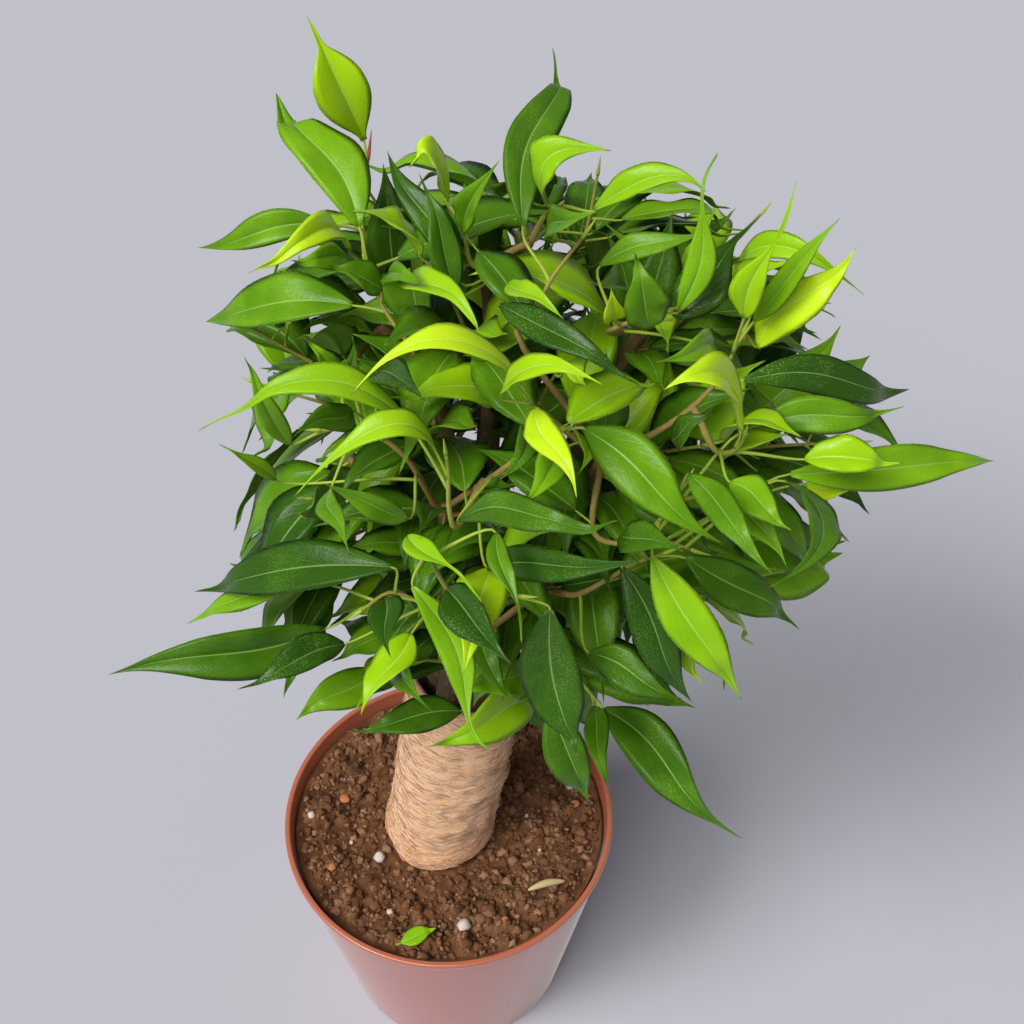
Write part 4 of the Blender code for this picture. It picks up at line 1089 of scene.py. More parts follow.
# The sprays that the photograph shows, of which those named shoot are young
SEEN_SPRAYS = {
    "spray_top_left": seen_spray(
        0.070, [(411, 345), (389, 318), (370, 276)],
        blade((382, 289), (325, 264), 30, "dusky"),
        blade((352, 305), (206, 322), 48, "dusky"),
        blade((352, 262), (290, 260), 26, "mid"),
        blade((388, 277), (424, 284), 24, "dusky"),
    ),
    "shoot_top_left": seen_spray(
        0.080, [(366, 262), (362, 220), (368, 160)],
        blade((359, 226), (276, 93), 56, "mid", taper=0.2, body=1.0),
        blade((364, 140), (307, 16), 52, "lime", peak=1.15, body=0.80, taper=-0.3, hook=0.0),
        blade((350, 250), (246, 275), 30, "bright", (318, 231)),
        blade((326, 224), (197, 248), 32, "dusky"),
    ),
    "spray_top": seen_spray(
        0.070, [(467, 310), (466, 284)],
        blade((460, 282), (387, 150), 34, "deep"),
        blade((455, 292), (418, 172), 32, "dark"),
        blade((413, 272), (480, 335), 35, "leafy"),
    ),
    "shoot_top": seen_spray(
        0.080, [(472, 268), (468, 240), (450, 206)],
        blade((448, 203), (409, 168), 30, "bright", (432, 152)),
        blade((462, 232), (500, 160), 26, "dusky"),
    ),
    "spray_tall": seen_spray(
        0.078, [(477, 320), (493, 288), (508, 259), (536, 222)],
        blade((523, 226), (552, 47), 43, "dark", sway=-0.05),
        blade((500, 305), (645, 389), 26, "deep"),
        blade((508, 283), (564, 320), 22, "fresh"),
        blade((548, 238), (598, 211), 26, "dusky"),
    ),
    "shoot_tall": seen_spray(
        0.082, [(546, 214), (560, 205)],
        blade((546, 205), (612, 151), 45, "fresh", (548, 158)),
        blade((594, 210), (707, 192), 28, "fresh", (650, 178)),
    ),
    "spray_upper_right": seen_spray(
        0.078, [(600, 345), (640, 330), (668, 322)],
        blade((600, 265), (713, 229), 26, "dusky"),
        blade((675, 318), (761, 216), 50, "deep", body=0.72),
        blade((678, 312), (718, 152), 31, "mid", (703, 223), tilt=0.030, body=0.62, sway=0.05, twist=34.0),
        blade((650, 328), (634, 250), 46, "dusky"),
        blade((611, 320), (611, 288), 22, "bright"),
        blade((714, 345), (655, 362), 30, "mid"),
    ),
    "spray_far_right": seen_spray(
        0.086, [(690, 410), (722, 372), (742, 335)],
        blade((744, 380), (910, 389), 34, "deep"),
        blade((754, 321), (840, 218), 25, "mid"),
        blade((744, 318), (796, 181), 34, "leafy", body=0.60),
        blade((672, 440), (712, 414), 28, "deep"),
    ),
    "shoot_far_right": seen_spray(
        0.088, [(744, 322), (740, 285)],
        blade((737, 262), (866, 297), 28, "fresh", (790, 248), tilt=0.040),
        blade((757, 347), (857, 246), 45, "bright"),
    ),
    "spray_right": seen_spray(
        0.086, [(690, 462), (741, 458), (785, 470)],
        blade((791, 474), (994, 461), 43, "mid"),
        blade((786, 480), (768, 588), 38, "dark", (824, 528), tilt=0.040),
        blade((806, 484), (872, 490), 26, "bright"),
        blade((760, 424), (905, 406), 38, "dusky"),
    ),
    "shoot_right": seen_spray(
        0.094, [(716, 455), (736, 446), (742, 436)],
        blade((742, 433), (662, 391), 35, "bright", (715, 372)),
        blade((805, 459), (903, 463), 37, "leafy"),
        blade((730, 482), (793, 531), 42, "mid"),
    ),
    "spray_middle": seen_spray(
        0.082, [(520, 470), (560, 440), (580, 430)],
        blade((585, 429), (725, 545), 58, "dusky"),
        blade((487, 568), (650, 558), 32, "deep"),
        blade((458, 521), (621, 520), 33, "dark"),
        blade((541, 424), (499, 480), 28, "dark"),
        blade((567, 452), (523, 504), 36, "mid"),
        blade((587, 438), (577, 476), 24, "leafy"),
    ),
    "shoot_middle": seen_spray(
        0.090, [(545, 440), (538, 415), (528, 400)],
        blade((535, 407), (577, 500), 35, "bright"),
        blade((521, 382), (349, 397), 32, "bright", (448, 339)),
        blade((500, 398), (606, 387), 28, "lime", (535, 366)),
    ),
    "shoot_left": seen_spray(
        0.086, [(452, 530), (449, 480), (446, 455)],
        blade((436, 449), (291, 500), 32, "leafy", (381, 427)),
        blade((413, 429), (197, 432), 32, "fresh", (314, 380)),
    ),
    "spray_left": seen_spray(
        0.078, [(400, 450), (360, 432), (322, 430)],
        blade((290, 445), (243, 354), 24, "mid"),
        blade((340, 380), (303, 337), 24, "mid"),
        blade((408, 519), (325, 484), 26, "dusky"),
        blade((330, 489), (349, 554), 24, "dusky"),
        blade((352, 388), (352, 336), 24, "dark"),
        blade((378, 374), (430, 405), 36, "deep"),
        blade((352, 410), (293, 437), 34, "dark"),
        blade((276, 480), (218, 443), 16, "mid"),
    ),
    "spray_low_left": seen_spray(
        0.078, [(440, 610), (400, 590), (362, 610)],
        blade((325, 629), (107, 675), 50, "dark"),
        blade((344, 644), (236, 690), 36, "deep"),
        blade((391, 567), (194, 592), 50, "deep"),
        blade((301, 582), (187, 624), 24, "mid"),
        deeper=0.010,
    ),
    "spray_front": seen_spray(
        0.084, [(470, 640), (490, 600), (520, 596)],
        blade((550, 610), (577, 757), 61, "deep", (558, 700)),
        blade((447, 589), (512, 665), 45, "deep"),
        blade((385, 598), (391, 658), 36, "deep"),
    ),
    "shoot_front": seen_spray(
        0.092, [(455, 600), (436, 570), (425, 550)],
        blade((413, 587), (494, 751), 35, "mid", (465, 690), sway=-0.06, body=0.70),
        blade((496, 532), (522, 644), 24, "dusky", twist=30.0, body=0.72),
        blade((407, 536), (483, 604), 26, "fresh", body=0.62),
    ),
    "spray_foot_left": seen_spray(
        0.070, [(480, 660), (430, 660), (400, 655)],
        blade((533, 698), (427, 747), 50, "fresh"),
        blade((461, 711), (345, 732), 36, "dark"),
        blade((376, 669), (296, 720), 40, "mid"),
        blade((393, 631), (331, 662), 30, "dusky"),
        blade((400, 668), (432, 712), 26, "dusky"),
        blade((436, 634), (389, 672), 30, "deep"),
        deeper=0.030,
    ),
    "spray_low_right": seen_spray(
        0.078, [(570, 600), (610, 575), (650, 560)],
        blade((622, 568), (692, 702), 45, "deep"),
        blade((686, 558), (800, 630), 45, "dark"),
        blade((589, 653), (683, 699), 40, "dark"),
        blade((620, 536), (684, 552), 38, "dark"),
    ),
    "shoot_low_right": seen_spray(
        0.078, [(560, 650), (580, 680), (596, 700)],
        blade((604, 709), (743, 839), 52, "dark"),
        blade((550, 706), (589, 803), 42, "dark"),
        blade((594, 706), (609, 790), 26, "dark"),
        deeper=0.018,
    ),
    "shoot_right_of_middle": seen_spray(
        0.088, [(640, 545), (660, 520), (682, 488)],
        blade((653, 558), (742, 701), 48, "fresh"),
        blade((689, 474), (774, 576), 34, "dusky"),
        blade((738, 498), (787, 568), 30, "mid"),
    ),
}

# Round the foliage as the photograph shows it, within which the other leaves stay
CROWN_OUTLINE = [
    (200, 640), (222, 540), (235, 450), (222, 380), (215, 300), (300, 235), (345, 160),
    (400, 170), (480, 165), (520, 175), (600, 160), (700, 185), (790, 215), (850, 280),
    (880, 380), (905, 450), (860, 540), (790, 620), (735, 695), (660, 705), (625, 740),
    (600, 800), (560, 740), (470, 722), (380, 722), (290, 705),
]

# Fine blades: their rows, how far across their points lie, the sides of their stalks, and the
# ranges from which the form of each is drawn. Eased traits are calmed where blades would meet.
BLADE_ROWS = 26
BLADE_ACROSS = [-1.0, -0.72, -0.38, -0.09, 0.0, 0.09, 0.38, 0.72, 1.0]
FINE_BLADE = (BLADE_ROWS, BLADE_ACROSS, 5)
BLADE_THICK = 0.00035
RIB_RIDGE = 0.0004
RIB_GROOVE = 0.00012
STALK_RADIUS = 0.00042
TWIG_ROOT = 0.0014
TWIG_RINGS = 22
BLADE_FORM = dict(
    twist=(-18, 18),
    waves=(1.1, 2.3),
    phase=(0.0, math.tau),
    wave=(0.08, 0.26),
    sway=(-0.045, 0.045),
    hook=(-0.03, 0.10),
    fold=(0.5, 1.4),
    lean=(-0.10, 0.10),
    body=(0.88, 1.0),
)
EASED = ("twist", "wave", "sway", "hook", "lean")
LEAF_COLOURS = {
    0.0: (0.026, 0.084, 0.004),
    0.20: (0.080, 0.208, 0.004),
    0.42: (0.200, 0.430, 0.005),
    0.62: (0.295, 0.540, 0.005),
    0.82: (0.330, 0.570, 0.004),
    1.0: (0.500, 0.740, 0.012),
}
twig_trees = []
spray_rooms = []
blade_rooms = []


def seen_at(pixel, reach, nearer=0.0):
    """The pixel's place on the near side of a ball about the crown's middle, or beside it."""
    line = sight_line(pixel)
    to_middle = CROWN_MIDDLE - EYE
    along = to_middle.dot(line)
    miss = (to_middle - line * along).length
    inside = math.sqrt(max(0.0, reach * reach - miss * miss))
    return EYE + line * (along - inside - nearer)


def inside_outline(pixel):
    """Counts the outline's edges to the right of the pixel."""
    x, y = pixel
    inside = False
    for (ax, ay), (bx, by) in zip(CROWN_OUTLINE, CROWN_OUTLINE[1:] + CROWN_OUTLINE[:1]):
        if (ay > y) != (by > y) and x < ax + (bx - ax) * (y - ay) / (by - ay):
            inside = not inside
    return inside


def across(vector, axis):
    """The part of a vector that is square to an axis, at unit length."""
    return (vector - axis * vector.dot(axis)).normalized()


def room_of(points, faces):
    """The low and high corner of a shape's box, and its search tree."""
    low = Vector([min(point[axis] for point in points) for axis in range(3)])
    high = Vector([max(point[axis] for point in points) for axis in range(3)])
    return low, high, tree_of_faces(points, faces)


def is_free(room, others):
    """True if a shape meets none of the others."""
    low, high, tree = room
    for other_low, other_high, other in others:
        apart = any(low[i] > other_high[i] or high[i] < other_low[i] for i in range(3))
        if not apart and tree.overlap(other):
            return False
    return True


def solid_tree(name):
    solid = frame["nodes"][name].data
    return tree_of_faces([v.co for v in solid.vertices], [f.vertices for f in solid.polygons])


stem_trees = [solid_tree(f"stem_{number + 1}") for number in range(STEM_COUNT)]


def corners_of(name):
    """The corners of one of the solids, to find which place a leaf has in it."""
    solid = frame["nodes"][name].data
    tree = KDTree(len(solid.vertices))
    for vertex in solid.vertices:
        tree.insert(vertex.co, vertex.index)
    tree.balance()
    return tree


def seat_on(carriers, point):
    """The seat of a twig on the nearest bough or twig, and the way out of it."""
    found = [carrier.find_nearest(point) for carrier in carriers]
    near, _, _, apart = min(found, key=lambda one: one[3])
    way = (point - near) / apart
    return near + way * TOUCH_GAP, way


def find_twig(corners, way_points, carriers, draw):
    """Draws the twig's routes as its solid did, and keeps the one whose rings the solid has."""
    best = None
    for attempt in range(TWIG_TRIES):
        stray = Vector([draw.uniform(-1, 1) for _ in range(3)]) * TWIG_STRAY * attempt
        seat, way = seat_on(carriers, way_points[0] + stray)
        route = [seat + way * SEAT_RUN, *[point + stray for point in way_points]]
        points = [seat, *smooth_path(route, TWIG_KNOTS)]
        radii = [TWIG_RADIUS * (1.0 - TWIG_TAPER * k) for k in range(len(points))]
        misses = [abs(corners.find(point)[2] - radius) for point, radius in zip(points, radii)]
        miss = sum(sorted(misses)[:4])
        if best is None or miss < best[0]:
            best = (miss, points, radii, draw.getstate())
    draw.setstate(best[3])
    return best[1], best[2]


def root_on(twig, target, used):
    """The point of a twig nearest to the target that keeps apart from the other leaves' roots."""
    shares = [k / ROOT_STEPS for k in range(1, ROOT_STEPS)]
    points = [a.lerp(b, share) for a, b in zip(twig, twig[1:]) for share in shares]
    free = [point for point in points if all((point - one).length > ROOT_APART for one in used)]
    return min(free or points, key=lambda point: (point - target).length)


def find_seen_leaf(corners, twig, seen, used, spray, draw):
    """The place that a leaf of the photograph has in its solid, along the line of sight."""
    tilt = seen["traits"].get("tilt", ARCH_TILT)
    roll = math.radians(draw.uniform(-LEAF_ROLL, LEAF_ROLL))
    for attempt in range(SLIDE_TRIES):
        nearer = SLIDE_STEP * ((attempt + 1) // 2) * (-1) ** attempt - spray["deeper"]
        foot = seen_at(seen["foot"], spray["reach"], nearer)
        tip = seen_at(seen["tip"], spray["reach"] + TIP_REACH + 0.006 * (attempt % 3 - 1), nearer)
        if corners.find(tip)[2] > SAME_TIP:
            continue
        chord = tip - foot
        middle = (foot + tip) * 0.5
        to_eye = (EYE - middle).normalized()
        outward = (middle - CROWN_MIDDLE).normalized()
        if seen["arch"]:
            crossing = intersect_line_line(EYE, EYE + sight_line(seen["arch"]), middle, middle + UP)[0]
            face = across(crossing - middle + to_eye * tilt, chord.normalized())
            middle = crossing
        else:
            facing = to_eye * FACE_MIX[0] + UP * FACE_MIX[1] + outward * FACE_MIX[2]
            face = across(facing, chord.normalized())
            side = chord.normalized().cross(face)
            face = face * math.cos(roll) + side * math.sin(roll)
            middle = middle + face * (LEAF_RISE * chord.length)
        shown = max(LEAST_SHOWN, abs(across(to_eye, chord.normalized()).dot(face)))
        wide = seen["width"] * (EYE - middle).length / EYE_FOCUS / shown
        width = min(max(wide, chord.length * LEAST_WIDE), chord.length * MOST_WIDE, LEAF_WIDEST)
        leaving = (middle * 2.0 - (foot + tip) * 0.5 - foot).normalized()
        root = root_on(twig, foot - leaving * STALK_RUN, used)
        used.append(root)
        return root, foot, middle, tip, width, face
    raise RuntimeError(f"the solid has no leaf at {seen['tip']}")


def inside_crown(point):
    part = point - CROWN_MIDDLE
    facing = part.normalized().dot((EYE - CROWN_MIDDLE).normalized())
    room = 1.0 if facing < FACING_EYE else FRONT_ROOM
    within = sum((part[i] / CROWN_RADII[i]) ** 2 for i in range(3)) < room * room
    return within and inside_outline(picture_of(point))


def find_wild_leaf(corners, twig, share, side, draw, scale):
    """Draws the leaf's places as its solid did, and gives the one that the solid has, or None."""
    place = share * (len(twig) - 1)
    i = min(int(place), len(twig) - 2)
    root = twig[i].lerp(twig[i + 1], min(place - i, 0.9))
    heading = (twig[i + 1] - twig[i]).normalized()
    outward = (root - CROWN_MIDDLE).normalized()
    across_twig = heading.cross(outward + UP * 0.4).normalized() * side
    for attempt in range(LEAF_TRIES):
        slant = math.radians(draw.uniform(*(WILD_SLANT if side else END_SLANT)))
        way = heading * math.cos(slant) + across_twig * math.sin(slant)
        way = (way + outward * draw.uniform(0.0, 0.5) + UP * draw.uniform(-0.5, 0.35)).normalized()
        size = draw.uniform(*WILD_SIZE) * LEAF_LENGTH * scale * (1.0 - 0.018 * attempt)
        foot = root + way * draw.uniform(*WILD_STALK)
        tip = foot + way * size - UP * size * draw.uniform(*WILD_DROOP)
        if not inside_crown(tip):
            continue
        chord = (tip - foot).normalized()
        face = across(outward * 0.6 + UP * 0.8 + across_twig * draw.uniform(-0.6, 0.6), chord)
        middle = (foot + tip) * 0.5 + face * size * draw.uniform(*WILD_ARCH)
        width = size * LEAF_SHARE * draw.uniform(*WIDTH_CHANCE)
        if corners.find(tip)[2] < SAME_TIP:
            return root, foot, middle, tip, width, face
    return None


def blade_half(share, body, peak, taper):
    """Half width of a blade at a share of its length: a pointed oval, then a thin drip tip."""
    grown_share = min(share / body, 1.0)
    oval = max(0.0, math.sin(math.pi * grown_share ** peak)) ** 1.12
    oval *= 1.0 - taper * max(0.0, (grown_share - 0.6) / 0.4)
    tail = 0.13 * min(1.0, (1.0 - share) / 0.22) ** 0.8
    return math.hypot(oval, tail)


def blade_row(place, side_first, form, share):
    """The middle of a blade's row, the ways across it and out of it, and its half width."""
    _, foot, middle, tip, width, _ = place
    length = (tip - foot).length
    bend = middle * 2.0 - (foot + tip) * 0.5
    point = foot * (1 - share) ** 2 + bend * (2 * share * (1 - share)) + tip * share ** 2
    heading = ((bend - foot) * (1 - share) + (tip - bend) * share).normalized()
    side = across(side_first, heading)
    top = side.cross(heading)
    tail = max(0.0, (share - 0.66) / 0.34)
    point = point + side * (length * form["sway"] * math.sin(math.tau * share))
    point = point - top * (length * form["hook"] * math.sin(math.pi * tail) ** 2)
    angle = math.radians(form["twist"]) * (share - 0.3) * 2.0
    rolled = side * math.cos(angle) + top * math.sin(angle)
    top = top * math.cos(angle) - side * math.sin(angle)
    half = width * 0.5 * blade_half(share, form["body"], form["peak"], form["taper"])
    return point, rolled, top, half


def blade_lift(form, share, half, column):
    """How far a blade's point is raised by its fold, its waves and the groove over its midrib."""
    reach = abs(column)
    slope = math.tan(LEAF_FOLD * form["fold"]) * (1.0 + 0.45 * math.sin(4.2 * share + form["phase"]))
    phase = form["phase"] + (1.9 if column < 0 else 0.0)
    ripple = 0.7 * math.sin(math.tau * form["waves"] * share + phase)
    ripple += 0.4 * math.sin(math.tau * form["waves"] * 1.8 * share + 2.3 * phase)
    lift = slope * half * reach * (1.30 - 0.65 * reach)
    lift += form["wave"] * half * reach * reach * ripple
    return lift - RIB_GROOVE * (reach == 0.0)


def add_stalk(shape, place, side_first, tone, sides):
    root, foot, middle, tip, _, _ = place
    bend = middle * 2.0 - (foot + tip) * 0.5
    inward = (bend - foot).normalized()
    below = across(side_first, inward).cross(inward) * -0.0003
    gap = (foot - root).length
    leaving = (foot - root) * 0.35 + UP * (0.06 * gap)
    stalk = curved(root, leaving, inward * (0.22 * gap), foot + below, 8)
    stalk.append(foot + inward * 0.0008 + below)
    radii = [STALK_RADIUS * (1.2 - 0.6 * k / 8) for k in range(9)]
    sweep(shape, stalk, radii, sides, [tone] * 9)


def add_blade(shape, place, tone, dust, looks, traits=None, calm=1.0, detail=FINE_BLADE):
    """A folded, arched and waved blade with a groove over its midrib, and its stalk.

    Its waves and bends are eased by calm, down to none at 0.
    """
    _, foot, _, tip, _, face = place
    rows, columns, stalk_sides = detail
    side_first = (tip - foot).normalized().cross(face).normalized()
    form = {label: looks.uniform(*span) for label, span in BLADE_FORM.items()}
    form.update(dict(peak=0.74, taper=0.40), **(traits or {}))
    for label in EASED:
        form[label] *= calm
    first = len(shape["points"])
    tops = []
    unders = []
    for row in range(rows):
        share = row / rows
        point, side, top, half = blade_row(place, side_first, form, share)
        tops.append([])
        unders.append([])
        for column in columns:
            reach = abs(column)
            flat = half * column * (1.0 + form["lean"] * column * math.sin(math.pi * share))
            spot = point + side * flat + top * blade_lift(form, share, half, column)
            rib = RIB_RIDGE * (1.0 - share) if reach == 0.0 else 0.0
            thick = BLADE_THICK * (1.0 - 0.5 * reach) + rib
            on_edge = reach == 1.0
            tops[-1].append(len(shape["points"]))
            unders[-1].append(len(shape["points"]) + (0 if on_edge else 1))
            shape["points"] += [spot] if on_edge else [spot, spot - top * thick]
            shape["spots"] += [(0.5 + 0.5 * column, share)] * (1 if on_edge else 2)
    end = len(shape["points"])
    shape["points"].append(tip)
    shape["spots"].append((0.5, 1.0))
    faces = []
    under = []
    across_row = range(len(columns) - 1)
    for row in range(rows - 1):
        for k in across_row:
            a, b, c, d = tops[row][k], tops[row][k + 1], tops[row + 1][k + 1], tops[row + 1][k]
            faces += [(a, b, c), (a, c, d)]
            a, b, c, d = unders[row][k], unders[row][k + 1], unders[row + 1][k + 1], unders[row + 1][k]
            faces += [(c, b, a), (d, c, a)]
            under += [0.0, 0.0, 1.0, 1.0]
    for k in across_row:
        faces += [(tops[-1][k], tops[-1][k + 1], end), (end, unders[-1][k + 1], unders[-1][k])]
        under += [0.0, 1.0]
    heel = tops[0] + unders[0][-2:0:-1]
    faces.append(tuple(reversed(heel)))
    under.append(1.0)
    shape["faces"] += faces
    shape["under"] += under
    shape["finish"] += [0] * len(faces)
    added = len(shape["points"]) - first
    for label, value in (("tone", tone), ("dust", dust), ("stalk", 0.0)):
        shape[label] += [value] * added
    add_stalk(shape, place, side_first, tone, stalk_sides)


def add_free_blade(shape, place, tone, dust, looks, traits=None):
    """Adds a blade, and eases its waves and bends until it meets no other blade."""
    before = {label: len(values) for label, values in shape.items()}
    drawn = looks.getstate()
    for calm in (1.0, 0.6, 0.3, 0.0):
        for label, count in before.items():
            del shape[label][count:]
        looks.setstate(drawn)
        add_blade(shape, place, tone, dust, looks, traits, calm)
        start = before["points"]
        added = shape["faces"][before["faces"]:]
        faces = [tuple(i - start for i in face) for face in added if not shape["stalk"][face[0]]]
        room = room_of(shape["points"][start:], faces)
        if is_free(room, blade_rooms):
            break
    blade_rooms.append(room)


def product(tree, first, second):
    return math_of(tree, "MULTIPLY", first, second)


def sum_of(tree, base, *parts):
    """A base with parts added to it, each given as (value, factor)."""
    for value, factor in parts:
        base = math_of(tree, "MULTIPLY_ADD", value, factor, base)
    return base


def blade_finish():
    """Leaf: tone from blue green to lime, pale midrib and veins, a thin pale margin that is a painted edge
    highlight, paler underside and white dust.
    """
    material, tree = new_finish("fig_leaf")
    masks = mottled(tree, 75.0, 1500.0)
    tone = stored(tree, "tone")
    under = stored(tree, "under")
    place = parts_of(tree, node(tree, "ShaderNodeUVMap", uv_map="blade").outputs[0])
    aside = math_of(tree, "ABSOLUTE", math_of(tree, "SUBTRACT", place[0], 0.5))
    along = place[1]
    patchy = sum_of(tree, tone, (math_of(tree, "SUBTRACT", masks["Blotch"], 0.5), 0.34))
    colour = ramp_of(tree, patchy, LEAF_COLOURS)
    rib_edge = sum_of(tree, 0.026, (along, -0.018))
    rib = ranged(tree, aside, rib_edge, product(tree, rib_edge, 0.45))
    vein_wave = math_of(tree, "SINE", product(tree, sum_of(tree, along, (aside, -0.75)), 60.0))
    vein = ranged(tree, vein_wave, 0.80, 1.0, 0.0, 0.035)
    # The thin pale band along the margin is a painted highlight on the blade's edge; the pale midrib and
    # veins are the leaf's own
    edge_highlight = ranged(tree, aside, 0.475, 0.498, 0.0, 0.26)
    vein_and_highlight_colour = mixed(tree, 0.60, colour, mixed(tree, tone, (0.36, 0.58, 0.16), (0.80, 0.92, 0.36)))
    colour = mixed(tree, math_of(tree, "MAXIMUM", vein, edge_highlight), colour, vein_and_highlight_colour)
    colour = mixed(tree, product(tree, rib, 0.62), colour, vein_and_highlight_colour)
    colour = mixed(tree, ranged(tree, along, 0.955, 0.985, 0.0, 0.75), colour, (0.30, 0.17, 0.06))
    colour = mixed(tree, stored(tree, "stalk"), colour, (0.34, 0.46, 0.050))
    colour = mixed(tree, under, colour, mixed(tree, 0.42, colour, (0.24, 0.38, 0.06)))
    inputs = {"Vector": own_place(tree), "Scale": 2100.0, "Randomness": 1.0}
    speck = ranged(tree, node(tree, "ShaderNodeTexVoronoi", inputs).outputs[0], 0.30, 0.12)
    patches = ranged(tree, masks["Blotch"], 0.44, 0.64)
    dusted = product(tree, product(tree, speck, patches), stored(tree, "dust"))
    dusted = product(tree, dusted, math_of(tree, "SUBTRACT", 1.0, under))
    rough = sum_of(tree, 0.15, (masks["Grain"], 0.18), (under, 0.22), (dusted, 0.3))
    height = sum_of(tree, product(tree, masks["Grain"], 0.5), (vein, -3.5), (rib, -0.4))
    height = sum_of(tree, height, (masks["Blotch"], 1.5))
    shaded(
        tree,
        Base_Color=mixed(tree, product(tree, dusted, 0.62), colour, (0.46, 0.56, 0.36)),
        Roughness=rough,
        Normal=bump_of(tree, height, 0.00022, 0.6),
        Specular_IOR_Level=0.19,
    )
    return material


leaf_skin = blade_finish()
maroon_to_orange = two_colours((0.50, 0.05, 0.06), (0.72, 0.26, 0.06))
sheath = blotchy_finish("bud_sheath", (300.0, 1200.0), maroon_to_orange, Roughness=0.45)


def add_twig(shape, points, radii, green):
    """The spray's slim twig, rooted inside the bough and green towards its end."""
    rooted = points[0] - (points[1] - points[0]).normalized() * TWIG_ROOT
    path = smooth_path([rooted, *points[1:]], TWIG_RINGS)
    slim = [r * (0.92 - 0.36 * k / (TWIG_RINGS - 1)) for k, r in enumerate(spread(radii, TWIG_RINGS))]
    fine = knobbly(slim, len(shape["points"]) * 0.1, 0.30)
    tones = spread([0.3, 0.55 + 0.3 * green, 0.75 + 0.25 * green], TWIG_RINGS)
    sweep(shape, path, fine, 7, tones, 1)
    return path


def add_bud(shape, path, length, finish):
    """A pointed bud on the end of a twig."""
    heading = (path[-1] - path[-3]).normalized()
    rings = [path[-1] + heading * (length * k / 5) + UP * (0.0006 * k * k / 25) for k in range(6)]
    radii = [0.00045, 0.00055, 0.00045, 0.00032, 0.0002, 0.00005]
    sweep(shape, rings, radii, 7, [0.9] * 6, finish)


def finish_spray(name, shape):
    spray_rooms.append(room_of(shape["points"], shape["faces"]))
    spray = add_object(f"leafy_{name}", mesh_of(f"leafy_{name}", shape, [leaf_skin, bark, sheath]))
    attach(spray, "root")
    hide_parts(name)


def find_seen_twigs():
    """The twig of each spray of the photograph, with the draws that go on from it."""
    twigs = {}
    for number, (name, spray) in enumerate(SEEN_SPRAYS.items()):
        draw = random.Random(100 + number)
        last = len(spray["twig"]) - 1
        reaches = [spray["reach"] - TWIG_DEPTH * (1 - k / last) for k in range(last + 1)]
        way_points = [seen_at(*place, -spray["deeper"]) for place in zip(spray["twig"], reaches)]
        carriers = stem_trees + twig_trees if name.startswith("shoot") else stem_trees
        points, radii = find_twig(corners_of(name), way_points, carriers, draw)
        outline = new_shape()
        sweep(outline, points, radii, 4, [0.0] * len(points))
        twig_trees.append(tree_of_faces(outline["points"], outline["faces"]))
        twigs[name] = (points, radii, draw)
    return twigs


def make_seen_sprays():
    """The sprays of the photograph, each leaf at the place that it has in its solid."""
    for name, (points, radii, draw) in find_seen_twigs().items():
        spray = SEEN_SPRAYS[name]
        young = name.startswith("shoot")
        shape = new_shape()
        path = add_twig(shape, points, radii, young)
        looks = random.Random(name)
        corners = corners_of(name)
        used = []
        for seen in spray["leaves"]:
            place = find_seen_leaf(corners, points, seen, used, spray, draw)
            tone = seen["tone"] + looks.uniform(-0.03, 0.03)
            dust = looks.uniform(0.3, 1.0) * (1.0 - 0.85 * tone)
            traits = dict(twist=looks.uniform(-14, 14), wave=looks.uniform(0.08, 0.20))
            traits.update(seen["traits"])
            add_free_blade(shape, place, tone, dust, looks, traits)
        if name == "shoot_top_left":
            add_bud(shape, path, 0.010, 2)
        else:
            add_bud(shape, path, 0.0055, 0)
        limbs.append(path)
        finish_spray(name, shape)


def make_wild_spray(name, number):
    """One of the other sprays, with the leaves that its solid has."""
    draw = random.Random(500 + number)
    way = crown_direction(number, WILD_SPRAYS, *WILD_HEIGHTS)
    in_front = way.dot((EYE - CROWN_MIDDLE).normalized()) > FACING_EYE
    start, end, scale = FRONT_TWIG if in_front else OTHER_TWIG
    while not inside_outline(picture_of(CROWN_MIDDLE + way * (end + 0.008))):
        end -= 0.004
    way_points = [CROWN_MIDDLE + way * start, CROWN_MIDDLE + way * end + UP * 0.006]
    corners = corners_of(name)
    points, radii = find_twig(corners, way_points, stem_trees, draw)
    shape = new_shape()
    path = add_twig(shape, points, radii, 0.3)
    looks = random.Random(name)
    last = (FRONT_LEAVES if in_front else WILD_LEAVES) - 1
    for order in range(last, -1, -1):
        side = 0 if order == last else (-1) ** order
        place = find_wild_leaf(corners, points, 0.30 + 0.68 * order / last, side, draw, scale)
        newest = 0.38 if side == 0 else 0.0
        tone = min(1.0, 0.10 + newest + 0.35 * looks.random() ** 1.5 + 0.18 * max(0.0, way.z))
        dust = looks.uniform(0.2, 1.0) * (1.0 - 0.75 * tone)
        if place:
            add_free_blade(shape, place, tone, dust, looks)
    add_bud(shape, path, 0.0045, 0)
    limbs.append(path)
    finish_spray(name, shape)


make_seen_sprays()
for number in range(WILD_SPRAYS):
    name = f"spray_{number + 1:02d}"
    if name in frame["nodes"]:
        make_wild_spray(name, number)

# Inner leaves
# Between the sprays, smaller and darker leaves grow straight from the boughs and twigs and fill
# the crown, as on a clipped bush.
INNER_TRIES = 9000
INNER_KINDS = 7
INNER_CALM = 0.7
INNER_SIZE = (0.605, 1.155)
INNER_BLADE = (15, [-1.0, -0.45, 0.0, 0.45, 1.0], 4)
INNER_FRONT = 0.076
INNER_OTHER = 0.102
INNER_LOWEST = SOIL_TOP + 0.105

# Corners of the parts of the picture where the crown is open, and no inner leaf ends
OPEN_PARTS = [((230, 370), (305, 565)), ((775, 475), (860, 605)), ((705, 620), (800, 705))]


